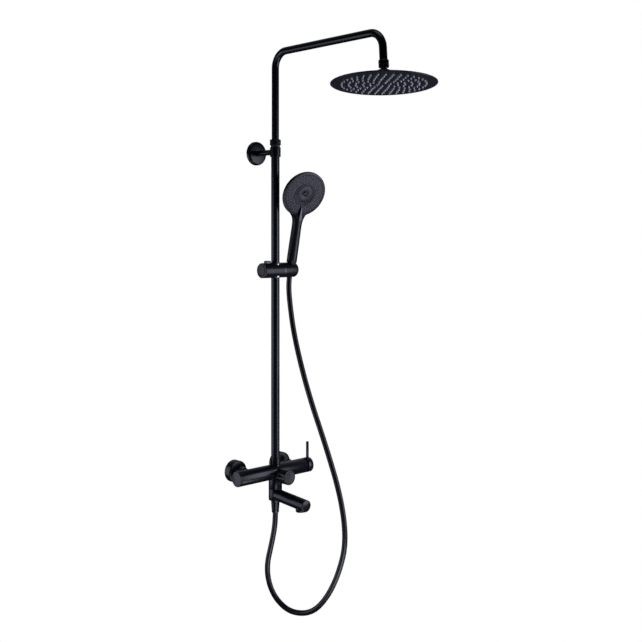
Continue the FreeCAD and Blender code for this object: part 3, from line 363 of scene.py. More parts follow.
def makeFinish(name, finish):
    material = bpy.data.materials.new(name)
    material.use_nodes = True
    tree = material.node_tree
    shader = tree.nodes["Principled BSDF"]
    shader.inputs["Metallic"].default_value = finish["metallic"]
    shader.inputs["Coat Weight"].default_value = finish["coat"]
    shader.inputs["Coat Roughness"].default_value = coatRoughness
    place = tree.nodes.new("ShaderNodeTexCoord")
    wear = tree.nodes.new("ShaderNodeGroup")
    wear.node_tree = surfaceWear
    tree.links.new(place.outputs["Object"], wear.inputs["Vector"])
    wear.inputs["Colour"].default_value = (*finish["colour"], 1)
    wear.inputs["Worn Colour"].default_value = (*finish["worn"], 1)
    wear.inputs["Roughness"].default_value = finish["roughness"]
    wear.inputs["Grain Scale"].default_value = finish["grainScale"]
    wear.inputs["Grain Depth"].default_value = finish["grainDepth"]
    wear.inputs["Gloss Drift"].default_value = finish["glossDrift"]
    wear.inputs["Drops"].default_value = finish["drops"]
    wear.inputs["Edge Wear"].default_value = finish["edgeWear"]
    tree.links.new(wear.outputs["Colour"], shader.inputs["Base Color"])
    tree.links.new(wear.outputs["Roughness"], shader.inputs["Roughness"])
    bump = tree.nodes.new("ShaderNodeBump")
    bump.inputs["Strength"].default_value = bumpStrength
    bump.inputs["Distance"].default_value = bumpDistance
    tree.links.new(wear.outputs["Height"], bump.inputs["Height"])
    tree.links.new(bump.outputs["Normal"], shader.inputs["Normal"])
    return material


materials = {name: makeFinish(name, finish) for name, finish in finishes.items()}
for part in frame["record"]["subparts"]:
    mesh = frame["nodes"][part["node"]].data
    mesh.materials.clear()
    mesh.materials.append(materials[part["material_slot"]])
print("finishes ready,", len(materials))


# the hose: one smooth line from the nut under the mixer to the cone nut in the holder

hoseRoute = {
    "axis": (0.0, -0.081, 0.0),
    "points": [
        (0, 0, -0.106), (0, 0, -0.136), (-0.005, 0.009, -0.189), (-0.011, 0.022, -0.247),
        (-0.009, 0.015, -0.296), (0.0005, -0.007, -0.335), (0.0175, -0.045, -0.360),
        (0.042, -0.097, -0.352), (0.0605, -0.136, -0.303), (0.074, -0.164, -0.234),
        (0.081, -0.180, -0.158), (0.076, -0.168, -0.055), (0.0645, -0.128, 0.065),
        (0.053, -0.068, 0.205), (0.0523, -0.015, 0.345), (0.0525, 0.0045, 0.441),
    ],
    "diameter": 0.014,
    "coneEnds": (-0.036, -0.014),  # along the handset's axis, from its pivot
    "bendFrom": (0, -0.081, -0.106),
    "bendSlant": (1, -1, 1),
    # height where each stretch ends, and the bodies at its lower and upper end
    "stretches": [
        ("hoseLong", 0.150, "root", "slider_carriage"),
        ("hoseRising", 0.325, "slider_carriage", "slider"),
        ("hoseUpper", 0.412, "slider", "holder"),
        ("hoseTop", 9.0, "holder", "cone_nut"),
    ],
}
liftAxis = Vector(joints["handset_lift"]["axis"])
pivot = Vector(joints["handset_twist"]["pos_m"])


def splineThrough(name, points):
    data = bpy.data.curves.new(name, "CURVE")
    data.dimensions = "3D"
    data.resolution_u = 12
    line = data.splines.new("NURBS")
    line.points.add(len(points) - 1)
    for knot, point in zip(line.points, points):
        knot.co = (*point, 1)
    line.order_u = 3
    line.use_endpoint_u = True
    return bpy.data.objects.new(name, data)


def linePoints(curve):
    mesh = bpy.data.meshes.new_from_object(curve)
    points = [vertex.co.copy() for vertex in mesh.vertices]
    bpy.data.meshes.remove(mesh)
    return points


def tubeMesh(name, points, diameter):
    # mesh tube round a run of points
    data = bpy.data.curves.new(name, "CURVE")
    data.dimensions = "3D"
    data.bevel_depth = diameter / 2
    data.bevel_resolution = 8
    line = data.splines.new("POLY")
    line.points.add(len(points) - 1)
    for knot, point in zip(line.points, points):
        knot.co = (*point, 1)
    holder = bpy.data.objects.new(name, data)
    mesh = bpy.data.meshes.new_from_object(holder)
    bpy.data.objects.remove(holder)
    bpy.data.curves.remove(data)
    mesh.name = name
    mesh.shade_smooth()
    return mesh


def pathLength(points):
    return sum((b - a).length for a, b in zip(points, points[1:]))


def makeHose(route):
    points = [Vector(route["axis"]) + Vector(point) for point in route["points"]]
    points += [pivot + liftAxis * reach for reach in route["coneEnds"]]
    curve = splineThrough("hoseLine", points)
    line = linePoints(curve)
    bpy.data.objects.remove(curve)
    lowest = min(range(len(line)), key=lambda index: line[index].z)
    begin = 0
    for name, top, lower, upper in route["stretches"]:
        finish = begin + 1
        while finish < len(line) - 1 and not (finish > lowest and line[finish].z >= top):
            finish += 1
        run = line[begin:finish + 1]
        mesh = tubeMesh(name, run, route["diameter"])
        mesh.materials.append(materials["hose"])
        hose = bpy.data.objects.new(name, mesh)
        bpy.context.scene.collection.objects.link(hose)
        if name == "hoseLong":
            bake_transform(hose)
        else:
            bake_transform(hose)
        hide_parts("shower_hose")
        print(name, len(run), "points", round(pathLength(run), 3), "m")
        begin = finish


makeHose(hoseRoute)
print("hose ready")


# the pieces are modelled in millimetres and scaled once they are placed

axisY = -81.0  # the riser and the barrel cross here


def standing(height=0.0, x=0.0, y=axisY):
    return Matrix.Translation((x, y, height))


def turnedTo(x, y, z, degrees, axis):
    return Matrix.Translation((x, y, z)) @ Matrix.Rotation(math.radians(degrees), 4, axis)


def alongX(x, z=0.0):
    return turnedTo(x, axisY, z, 90, "Y")


def alongBack(x, y, z):
    return turnedTo(x, y, z, -90, "X")


def alongFront(x, y, z):
    return turnedTo(x, y, z, 90, "X")


def spun(profile, place=None, steps=72, closed=False):
    # profile: radius and height along the axis
    work = bmesh.new()
    corners = [work.verts.new((radius, 0, height)) for radius, height in profile]
    edges = [work.edges.new(pair) for pair in zip(corners, corners[1:])]
    if closed:
        edges.append(work.edges.new((corners[-1], corners[0])))
    bmesh.ops.spin(work, geom=corners + edges, cent=(0, 0, 0), axis=(0, 0, 1), angle=math.tau, steps=steps,
                   use_merge=True, use_duplicate=False)
    bmesh.ops.remove_doubles(work, verts=work.verts, dist=0.0005)
    bmesh.ops.recalc_face_normals(work, faces=work.faces)
    if place is not None:
        bmesh.ops.transform(work, matrix=place, verts=work.verts)
    return work


def roundSharp(work, width, segments=2, angle=30.0):
    sharp = [edge for edge in work.edges if edge.is_manifold and edge.calc_face_angle() > math.radians(angle)]
    bmesh.ops.bevel(work, geom=sharp, offset=width, offset_type="OFFSET", segments=segments, profile=0.5,
                    affect="EDGES", clamp_overlap=True, material=-1)
    return work


def joined(*parts):
    whole = bmesh.new()
    for part in parts:
        mesh = bpy.data.meshes.new("part")
        part.to_mesh(mesh)
        part.free()
        whole.from_mesh(mesh)
        bpy.data.meshes.remove(mesh)
    return whole


def cutAway(work, *cutters):
    # takes the cutters' volume out of the piece
    scene = bpy.context.scene.collection
    objects = []
    for part in (work, *cutters):
        mesh = bpy.data.meshes.new("cutting")
        part.to_mesh(mesh)
        part.free()
        thing = bpy.data.objects.new("cutting", mesh)
        scene.objects.link(thing)
        objects.append(thing)
    for cutter in objects[1:]:
        step = objects[0].modifiers.new("cut", "BOOLEAN")
        step.operation = "DIFFERENCE"
        step.solver = "EXACT"
        step.object = cutter
    bpy.context.view_layer.update()
    mesh = bpy.data.meshes.new_from_object(objects[0].evaluated_get(bpy.context.evaluated_depsgraph_get()))
    left = bmesh.new()
    left.from_mesh(mesh)
    bpy.data.meshes.remove(mesh)
    for thing in objects:
        data = thing.data
        bpy.data.objects.remove(thing)
        bpy.data.meshes.remove(data)
    return left


def finishPiece(work, name, body, slot, *cadNodes, smooth=40.0):
    bmesh.ops.scale(work, vec=(0.001, 0.001, 0.001), verts=work.verts)
    mesh = bpy.data.meshes.new(name)
    work.to_mesh(mesh)
    work.free()
    mesh.shade_smooth()
    mesh.set_sharp_from_angle(angle=math.radians(smooth))
    mesh.materials.append(materials[slot])
    piece = bpy.data.objects.new(name, mesh)
    bpy.context.scene.collection.objects.link(piece)
    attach(piece, body)
    if cadNodes:
        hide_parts(*cadNodes)
    return piece


def ringProfile(inner, outer, bottom, top):
    return [(inner, bottom), (outer, bottom), (outer, top), (inner, top)]


def spunRing(inner, outer, bottom, top, place, bevel=0.4, steps=72):
    return roundSharp(spun(ringProfile(inner, outer, bottom, top), place, steps, closed=True), bevel)


def knurled(inner, outer, bottom, top, ribs, depth, place):
    # a nut with fine ribs round it
    work = spun(ringProfile(inner, outer, bottom, top), None, ribs * 4, closed=True)
    for vert in work.verts:
        reach = math.hypot(vert.co.x, vert.co.y)
        if reach > outer - 0.01:
            turn = math.atan2(vert.co.y, vert.co.x) / math.tau * ribs * 4
            if round(turn) % 4 in (0, 1):
                scale = (outer - depth) / outer
                vert.co.x *= scale
                vert.co.y *= scale
    roundSharp(work, 0.25, 1, 50)
    bmesh.ops.transform(work, matrix=place, verts=work.verts)
    return work


# mixer

mixer = {
    "radius": 19.3, "left": -128.0, "right": 96.5, "capThickness": 4.0,
    "inletX": 75.0, "tailRadius": 11.4, "flangeRadius": 13.0,
    "bossRadius": 17.7, "bossFront": 31.5, "diverterHeight": -7.0, "hubRadius": 17.4, "hubBottom": -43.7,
    "collarRadius": 12.75, "collarTop": 19.8, "edge": 0.6,
}


def makeMixer(size):
    radius = size["radius"]
    barrel = roundSharp(spun([
        (0, size["left"] + size["capThickness"] + 0.25), (radius, size["left"] + size["capThickness"] + 0.25),
        (radius, size["right"]), (17.0, size["right"]), (17.0, size["right"] - 3), (0, size["right"] - 3),
    ], alongX(0), 96), 0.35)
    collar = roundSharp(spun([(0, 0), (size["collarRadius"], 0),
                              (size["collarRadius"], size["collarTop"] - 0.3),
                              (0, size["collarTop"] - 0.3)], standing(), 64), 0.4)
    boss = roundSharp(spun([(0, 0), (size["bossRadius"], 0), (size["bossRadius"], size["bossFront"]),
                            (0, size["bossFront"])], alongFront(0, axisY, size["diverterHeight"]), 96),
                      size["edge"])
    hub = roundSharp(spun([(0, 0), (size["hubRadius"], 0), (size["hubRadius"], -size["hubBottom"]),
                           (12.5, -size["hubBottom"]), (12.5, 20), (0, 20)],
                          turnedTo(0, axisY, 0, 180, "X"), 96), 0.4)
    parts = [barrel, collar, boss, hub]
    for side in (-1, 1):
        tail = [(0, 0), (size["tailRadius"], 0), (size["tailRadius"], 47), (size["flangeRadius"], 47.5),
                (size["flangeRadius"], 50), (6.5, 50), (6.5, 40), (0, 40)]
        parts.append(roundSharp(spun(tail, alongBack(size["inletX"] * side, axisY, 0), 56), 0.3))
    finishPiece(joined(*parts), "mixerBarrel", "root", "black_coat", "mixer_body")
    cap = spun([(0, 0), (radius - 0.9, 0), (radius, 0.9), (radius, size["capThickness"] - 0.1),
                (12, size["capThickness"] - 0.1), (12, 13.5), (0, 13.5)], alongX(size["left"]), 96)
    finishPiece(roundSharp(cap, 0.3), "barrelEndCap", "root", "black_coat", "left_end_cap")


def makeHandle():
    radius = mixer["radius"]
    dome = spun([(9.6, 6.6), (16.8, 6.6), (16.8, 7.1), (15.0, 7.1), (14.4, 8.3), (13.4, 9.7), (12.5, 10.9),
                 (11.4, 11.9), (10.1, 12.9), (8.6, 13.9), (8.6, 12.3), (9.6, 11.1)], alongX(90), 72,
                closed=True)
    finishPiece(dome, "domeCover", "root", "dome_black", "dome_ring")
    cup = spun([(0, 8), (17.2, 8), (17.2, 0), (radius - 0.5, 0), (radius, 0.5), (radius, 14.6),
                (radius - 0.35, 15.5), (radius - 1.1, 16.1), (radius - 2.2, 16.3), (0, 16.3)],
               alongX(102), 96)
    finishPiece(roundSharp(cup, 0.25), "handleCap", "handle", "black_coat", "handle_cap")
    pin = spun([(0, 8.2), (3.7, 8.2), (3.7, 19.0), (3.45, 19.4), (3.45, 20.0), (3.7, 20.4), (3.7, 59.9),
                (3.55, 60.7), (3.1, 61.25), (2.4, 61.5), (0, 61.5)], standing(0, 112.2), 36)
    finishPiece(pin, "leverPin", "handle", "black_coat", "lever_pin")


diverter = {"radius": 18.8, "front": 57.0, "back": 32.7}


def makeDiverter(size):
    place = alongFront(0, axisY, mixer["diverterHeight"])
    knob = spun([
        (4.15, 39.5), (14, 39.5), (14, size["back"]), (size["radius"] - 0.6, size["back"]),
        (size["radius"], size["back"] + 0.6), (size["radius"], size["front"] - 1.4),
        (size["radius"] - 0.4, size["front"] - 0.5), (size["radius"] - 1.4, size["front"]),
        (size["radius"] - 3.2, size["front"]), (size["radius"] - 3.6, size["front"] - 0.35),
        (size["radius"] - 4.2, size["front"] - 0.35), (size["radius"] - 4.6, size["front"]),
        (0, size["front"]),
        (0, 48.1), (4.15, 48.1),
    ], place, 96)
    # a small raised bar shows which way the knob is turned
    bar = bmesh.new()
    bmesh.ops.create_cube(bar, size=1.0)
    bmesh.ops.scale(bar, vec=(1.5, 9.0, 0.9), verts=bar.verts)
    bmesh.ops.translate(bar, vec=(0, 8.6, size["front"] + 0.05), verts=bar.verts)
    roundSharp(bar, 0.25, 2)
    bmesh.ops.transform(bar, matrix=place, verts=bar.verts)
    finishPiece(joined(knob, bar), "diverterKnob", "diverter", "black_coat", "diverter_knob")


# spout, its aerator and the hose nut

spout = {"slope": 4.16, "radius": 15.3, "length": 120.4, "start": 14.0, "height": -58.6,
         "hubTop": -44.1, "hubBottom": -73.2, "hubRadius": 17.4, "aeratorY": -179.0, "aeratorBottom": -85.0}


def makeSpout(size):
    slope = math.radians(size["slope"])
    root = turnedTo(0, axisY - size["start"] * math.cos(slope),
                    size["height"] - size["start"] * math.sin(slope),
                    90 + size["slope"], "X")
    length = size["length"] - size["start"]
    pipe = spun([(0, -4), (size["radius"], -4), (size["radius"], length - 1.6),
                 (size["radius"] - 0.45, length - 0.5),
                 (size["radius"] - 1.6, length), (0, length)], root, 96)
    hub = roundSharp(spun([(13.1, size["hubBottom"]), (size["hubRadius"], size["hubBottom"]),
                           (size["hubRadius"], size["hubTop"]), (13.1, size["hubTop"])],
                          standing(), 96, closed=True), 0.7)
    bottom = size["aeratorBottom"]
    boss = roundSharp(spun([(10.6, bottom + 3.6), (12.6, bottom + 3.6), (12.6, bottom + 14.6),
                            (10.6, bottom + 14.6)],
                           standing(0, 0, size["aeratorY"]), 64, closed=True), 0.3)
    finishPiece(joined(pipe, hub, boss), "spoutBody", "spout", "black_coat", "spout")
    place = standing(bottom, 0, size["aeratorY"])
    housing = spun([(9, 0), (11.2, 0), (11.9, 0.3), (12.2, 1.0), (12.2, 2.5), (10.4, 2.5), (10.4, 11),
                    (9, 11)],
                   place, 72, closed=True)
    finishPiece(housing, "aeratorRing", "spout", "black_coat", "aerator_housing")
    parts = [spun([(8.2, 0.8), (8.95, 0.8), (8.95, 9), (8.2, 9)], place, 48, closed=True)]
    for index in range(-4, 5):  # crossed bars of the aerator's mesh
        reach = math.sqrt(8.5 ** 2 - (index * 1.9) ** 2) * 2
        for turned in (False, True):
            bar = bmesh.new()
            bmesh.ops.create_cube(bar, size=1.0)
            bmesh.ops.scale(bar, vec=(0.45, reach, 1.2) if turned else (reach, 0.45, 1.2), verts=bar.verts)
            bmesh.ops.translate(bar, vec=(index * 1.9, 0, 1.9) if turned else (0, index * 1.9, 1.9),
                                verts=bar.verts)
            bmesh.ops.transform(bar, matrix=place, verts=bar.verts)
            parts.append(bar)
    parts.append(spun([(0, 7.5), (8.4, 7.5), (8.4, 9), (0, 9)], place, 48))
    finishPiece(joined(*parts), "aeratorMesh", "spout", "aerator_mesh", "aerator_insert")
    nut = spun([
        (9.6, -74.4), (10.9, -74.4), (11.3, -74.8), (11.3, -77.6), (11.0, -78.1), (10.95, -79.6),
        (10.6, -79.9),
        (10.6, -80.5), (10.9, -80.8), (9.75, -97.8), (9.4, -98.1), (9.4, -98.7), (9.7, -99.0), (9.25, -105.2),
        (8.8, -106), (7.1, -106), (7.1, -86.6), (9.6, -86.6),
    ], standing(), 72, closed=True)
    finishPiece(nut, "hoseNutLower", "root", "black_coat", "hose_nut_lower")


# wall side: unions, escutcheons, riser, bracket

wallSide = {"escutcheonRadius": 28.5, "escutcheonDepth": 21.0, "nutAcross": 30.0, "nutFront": -44.0,
            "nutBack": -21.4,
            "bracketHeight": 828.3, "rosetteRadius": 31.3, "rosetteDepth": 10.0}


def hexNut(across, front, back, x, hole):
    # hexagon with its corners turned off at both ends
    nut = bmesh.new()
    bmesh.ops.create_cone(nut, cap_ends=True, segments=6, radius1=across / math.sqrt(3),
                          radius2=across / math.sqrt(3),
                          depth=back - front)
    bmesh.ops.translate(nut, vec=(0, 0, (back - front) / 2), verts=nut.verts)
    length = back - front
    edge = across / 2 - 0.3
    rings = [spun([(edge, -0.5), (edge + 8.3, -0.5), (edge + 8.3, 4), (edge, 0)], None, 64, closed=True),
             spun([(edge, length), (edge + 8.3, length - 4), (edge + 8.3, length + 0.5),
                   (edge, length + 0.5)],
                  None, 64, closed=True)]
    bore = spun([(0, -5), (hole, -5), (hole, length + 5), (0, length + 5)], None, 48)
    nut = cutAway(nut, bore, *rings)
    roundSharp(nut, 0.3, 2, 35)
    bmesh.ops.transform(nut, matrix=alongBack(x, front, 0), verts=nut.verts)
    return nut


def makeWallSide(size):
    radius, depth = size["escutcheonRadius"], size["escutcheonDepth"]
    for name, side in (("Left", -1), ("Right", 1)):
        cup = spun([
            (13.3, -depth), (radius - 2.2, -depth), (radius - 0.9, 0.35 - depth),
            (radius - 0.25, 1.1 - depth),
            (radius, 2.2 - depth), (radius, -0.3), (radius - 0.3, 0), (radius - 1.5, 0),
            (radius - 1.5, 2.4 - depth),
            (radius - 2.6, 1.5 - depth), (13.3, 1.5 - depth),
        ], alongBack(75 * side, 0, 0), 96, closed=True)
        finishPiece(cup, "escutcheon" + name, "root", "black_coat", "escutcheon_" + name.lower())
    nuts = [hexNut(size["nutAcross"], size["nutFront"], size["nutBack"], 75 * side, 11.6) for side in (-1, 1)]
    finishPiece(joined(*nuts), "unionNuts", "root", "black_coat", "inlet_union_nuts")

    tube = spun([(10, 30), (11, 30), (11, 840.5), (10, 840.5)], standing(), 96, closed=True)
    finishPiece(tube, "riserTube", "root", "black_coat", "riser_tube")
    nut = spun([(11.05, 20.0), (12.1, 20.0), (12.75, 20.7), (12.75, 33.6), (12.45, 33.9), (12.45, 34.5),
                (12.75, 34.8),
                (12.75, 36.2), (12.1, 37.0), (11.05, 37.0)], standing(), 96, closed=True)
    finishPiece(nut, "riserNut", "root", "black_coat", "riser_nut")

    height = size["bracketHeight"]
    collar = spun([
        (11.03, height - 12.4), (13.2, height - 12.4), (14, height - 11.6), (14, height - 8.9),
        (13.6, height - 8.6),
        (13.6, height - 7.9), (14, height - 7.6), (14, height + 7.6), (13.6, height + 7.9),
        (13.6, height + 8.6),
        (14, height + 8.9), (14, height + 11.6), (13.2, height + 12.4), (11.03, height + 12.4),
    ], standing(), 96, closed=True)
    stem = spun([(0, 12), (9.0, 12), (9.0, 13.4), (8.3, 15.0), (7.6, 17.0), (7.3, 19.5), (7.3, 73), (0, 73)],
                alongBack(0, axisY, height), 56)
    stem = cutAway(stem, spun([(0, height - 40), (11.05, height - 40), (11.05, height + 40),
                               (0, height + 40)],
                              standing(), 48))
    finishPiece(joined(collar, stem), "bracketArm", "root", "black_coat", "bracket_arm")
    radius, depth = size["rosetteRadius"], size["rosetteDepth"]
    rosette = spun([
        (7.5, -depth), (radius - 6, -depth), (radius - 3.4, 0.5 - depth), (radius - 1.5, 1.6 - depth),
        (radius - 0.4, 3.2 - depth), (radius, 5.2 - depth), (radius, -0.3), (radius - 0.3, 0),
        (radius - 1.5, 0),
        (radius - 1.5, 4.9 - depth), (radius - 3.4, 2.6 - depth), (radius - 6, 1.5 - depth),
        (7.5, 1.5 - depth),
    ], alongBack(0, 0, height), 96, closed=True)
    finishPiece(rosette, "bracketRosette", "root", "black_coat", "bracket_rosette")
    clamp = joined(
        knurled(12.0, 14.3, 847.4, 858.8, 44, 0.3, standing()),
        spun([(12, 845.8), (13.7, 845.8), (14.2, 846.3), (14.2, 847.5), (12, 847.5)], standing(), 88,
             closed=True),
        spun([(9.8, 858.7), (14.2, 858.7), (14.2, 859.7), (13.4, 860.6), (9.8, 860.6)], standing(), 88,
             closed=True),
    )
    finishPiece(clamp, "clampNut", "lock_nut", "black_coat", "clamp_nut")


# telescopic arm with its two bends

arm = {"radius": 9.5, "wall": 1.0, "bottom": 560.0, "corner": 1085.8, "reach": 381.6, "rise": 3.1,
       "bend": 41.0,
       "lean": 3.7, "end": 73.0, "sides": 64, "bendSteps": 24}


def makeArm(size):
    lean = math.radians(size["lean"])
    corner = Vector((0, axisY, size["corner"]))
    outer = corner + Vector((0, -size["reach"], size["rise"]))
    down = Vector((0, -math.sin(lean), -math.cos(lean)))
    stops = [Vector((0, axisY, size["bottom"])), corner, outer, outer + down * size["end"]]
    tube = bmesh.new()
    shells = []
    for radius in (size["radius"], size["radius"] - size["wall"]):
        made = bmesh.ops.create_circle(tube, segments=size["sides"], radius=radius,
                                       matrix=Matrix.Translation(stops[0]))
        loop = list({edge for vert in made["verts"] for edge in vert.link_edges})
        ends = [loop]
        for before, here, after in zip(stops, stops[1:], stops[2:]):
            first, second = (here - before).normalized(), (after - here).normalized()
            turn = first.angle(second)
            axis = first.cross(second).normalized()
            inward = (second - first).normalized()
            centre = here + inward * (size["bend"] / math.cos(turn / 2))
            entry = here - first * (size["bend"] * math.tan(turn / 2))
            verts = list({vert for edge in loop for vert in edge.verts})
            middle = sum((vert.co for vert in verts), Vector()) / len(verts)
            grown = bmesh.ops.extrude_edge_only(tube, edges=loop)["geom"]
            moved = [item for item in grown if isinstance(item, bmesh.types.BMVert)]
            bmesh.ops.translate(tube, verts=moved, vec=entry - middle)
            loop = [item for item in grown if isinstance(item, bmesh.types.BMEdge)
                    and all(vert in moved for vert in item.verts)]
            bent = bmesh.ops.spin(tube, geom=loop, cent=centre, axis=axis, angle=turn,
                                  steps=size["bendSteps"],
                                  use_merge=False, use_duplicate=False)["geom_last"]
            loop = [item for item in bent if isinstance(item, bmesh.types.BMEdge)]
        verts = list({vert for edge in loop for vert in edge.verts})
        middle = sum((vert.co for vert in verts), Vector()) / len(verts)
        grown = bmesh.ops.extrude_edge_only(tube, edges=loop)["geom"]
        moved = [item for item in grown if isinstance(item, bmesh.types.BMVert)]
        bmesh.ops.translate(tube, verts=moved, vec=stops[-1] - middle)
        ends.append([item for item in grown if isinstance(item, bmesh.types.BMEdge)
                     and all(vert in moved for vert in item.verts)])
        shells.append(ends)
    for end in (0, 1):
        bmesh.ops.bridge_loops(tube, edges=shells[0][end] + shells[1][end])
    bmesh.ops.recalc_face_normals(tube, faces=tube.faces)
    finishPiece(tube, "armTube", "arm", "black_coat", "arm_tube")


# ball joint and rose, in frames taken from the joints

ball = Vector(joints["rose_tilt"]["pos_m"]) * 1000
outletUp = Vector(joints["rose_swing"]["axis"])
jointFrame = Matrix.Translation(ball) @ Vector((0, 0, 1)).rotation_difference(outletUp).to_matrix().to_4x4()

rose = {"roll": 3.1, "radius": 125.0, "hubTop": -8.5, "plateTop": -39.4, "faceBottom": -43.3,
        "sectors": 6, "rings": 6, "ringPitch": 16.4, "rowTurn": 56.0,  # rowTurn in degrees
        "nozzleRadius": 1.9, "nozzleTip": 1.35, "nozzleHole": 0.6, "nozzleReach": 3.6, "nozzleSides": 10}
roseFrame = jointFrame @ Matrix.Rotation(math.radians(rose["roll"]), 4, "Y")


def nozzleAt(place, radius, tip, hole, reach, sides, bottom=0.0):
    # soft nozzle: a foot, a taper and a small hole in its tip; reach is along minus Z
    return spun([(radius * 1.25, bottom), (radius, bottom - 0.25 * reach), (tip, bottom - reach + 0.15),
                 (tip - 0.2, bottom - reach), (hole, bottom - reach), (hole * 0.8, bottom - reach + 0.7),
                 (0, bottom - reach + 0.7)], place, sides)


def makeSwivel():
    nut = roundSharp(spun([
        (9.6, -4.3), (11.6, -4.3), (12.3, -3.6), (12.3, 1.6), (11.9, 2.0), (11.9, 2.8), (12.3, 3.2),
        (12.3, 12.3),
        (11.4, 13.5), (9.6, 13.5),
    ], jointFrame, 72, closed=True), 0.2)
    finishPiece(nut, "swivelNut", "arm", "black_coat", "swivel_nut")
    neck = spun([(0, 10.0), (3.4, 9.4), (6.4, 7.7), (8.7, 4.9), (9.8, 1.9), (10.0, 0), (9.8, -1.9),
                 (9.0, -4.3),
                 (7.9, -6.1), (7.7, -7.0), (7.7, -22), (0, -22)], roseFrame, 56)
    finishPiece(neck, "ballStem", "rose", "black_coat", "ball_stem")


def makeRose(size):
    top = size["plateTop"]
    hub = spun([(7.75, size["hubTop"]), (9.6, size["hubTop"]), (10.4, -8.9), (13.6, -10.0), (16.6, -11.6),
                (20.6, -14.4), (24.2, -17.7), (27.4, -22.0), (29.6, -26.8), (31.0, -32.4), (32, top + 0.02),
                (7.75, top + 0.02)], roseFrame, 96, closed=True)
    finishPiece(hub, "roseHub", "rose", "black_coat", "rose_hub")
    radius = size["radius"]
    plate = spun([(0, top), (radius - 2.4, top), (radius - 1.2, top - 0.25), (radius - 0.3, top - 0.9),
                  (radius, top - 1.7), (radius - 0.15, top - 2.5), (radius - 0.6, top - 2.9),
                  (radius - 1.2, top - 2.9), (radius - 1.2, top - 1.4), (0, top - 1.4)], roseFrame, 144)
    finishPiece(plate, "roseTopPlate", "rose", "black_coat", "rose_top_plate")
    bottom = size["faceBottom"]
    face = spun([(0, bottom), (size["radius"] - 4.4, bottom), (size["radius"] - 2.2, bottom + 0.12),
                 (size["radius"] - 1.45, bottom + 0.5), (size["radius"] - 1.3, bottom + 1.2),
                 (0, bottom + 1.2)],
                roseFrame, 144)
    finishPiece(face, "roseFace", "rose", "rose_face", "rose_face_plate")
    nozzles = []
    for ring in range(1, size["rings"] + 1):
        # every ring has one more nozzle in each sector than the ring inside it
        for step in range(ring * size["sectors"]):
            turn = math.radians(size["rowTurn"]) + math.tau * step / (ring * size["sectors"])
            reach = size["ringPitch"] * ring
            place = roseFrame @ Matrix.Rotation(turn, 4, "Z") @ Matrix.Translation((reach, 0, 0))
            nozzles.append(nozzleAt(place, size["nozzleRadius"], size["nozzleTip"], size["nozzleHole"],
                                    size["nozzleReach"], size["nozzleSides"], bottom + 0.3))
    finishPiece(joined(*nozzles), "roseNozzles", "rose", "grey_silicone", "rose_nozzles")


# slider and holder

slider = {"height": 521.7, "radius": 19.5, "left": -46.8, "split": 20.2, "holderStart": 21.3,
          "holderEnd": 68.5,
          "tabX": -27.0}


def saddleBead(radius, barrel, thickness, up, place):
    # thin bead where an upright hole leaves a lying barrel
    steps = 72
    points = []
    for step in range(steps):
        turn = math.tau * step / steps
        x, y = radius * math.cos(turn), radius * math.sin(turn)
        points.append(place @ Vector((x, y, up * math.sqrt(barrel ** 2 - y ** 2))))
    data = bpy.data.curves.new("bead", "CURVE")
    data.dimensions = "3D"
    data.bevel_depth = thickness
    data.bevel_resolution = 3
    line = data.splines.new("POLY")
    line.points.add(steps - 1)
    for knot, point in zip(line.points, points):
        knot.co = (*point, 1)
    line.use_cyclic_u = True
    thing = bpy.data.objects.new("bead", data)
    mesh = bpy.data.meshes.new_from_object(thing)
    bead = bmesh.new()
    bead.from_mesh(mesh)
    bpy.data.objects.remove(thing)
    bpy.data.curves.remove(data)
    bpy.data.meshes.remove(mesh)
    return bead


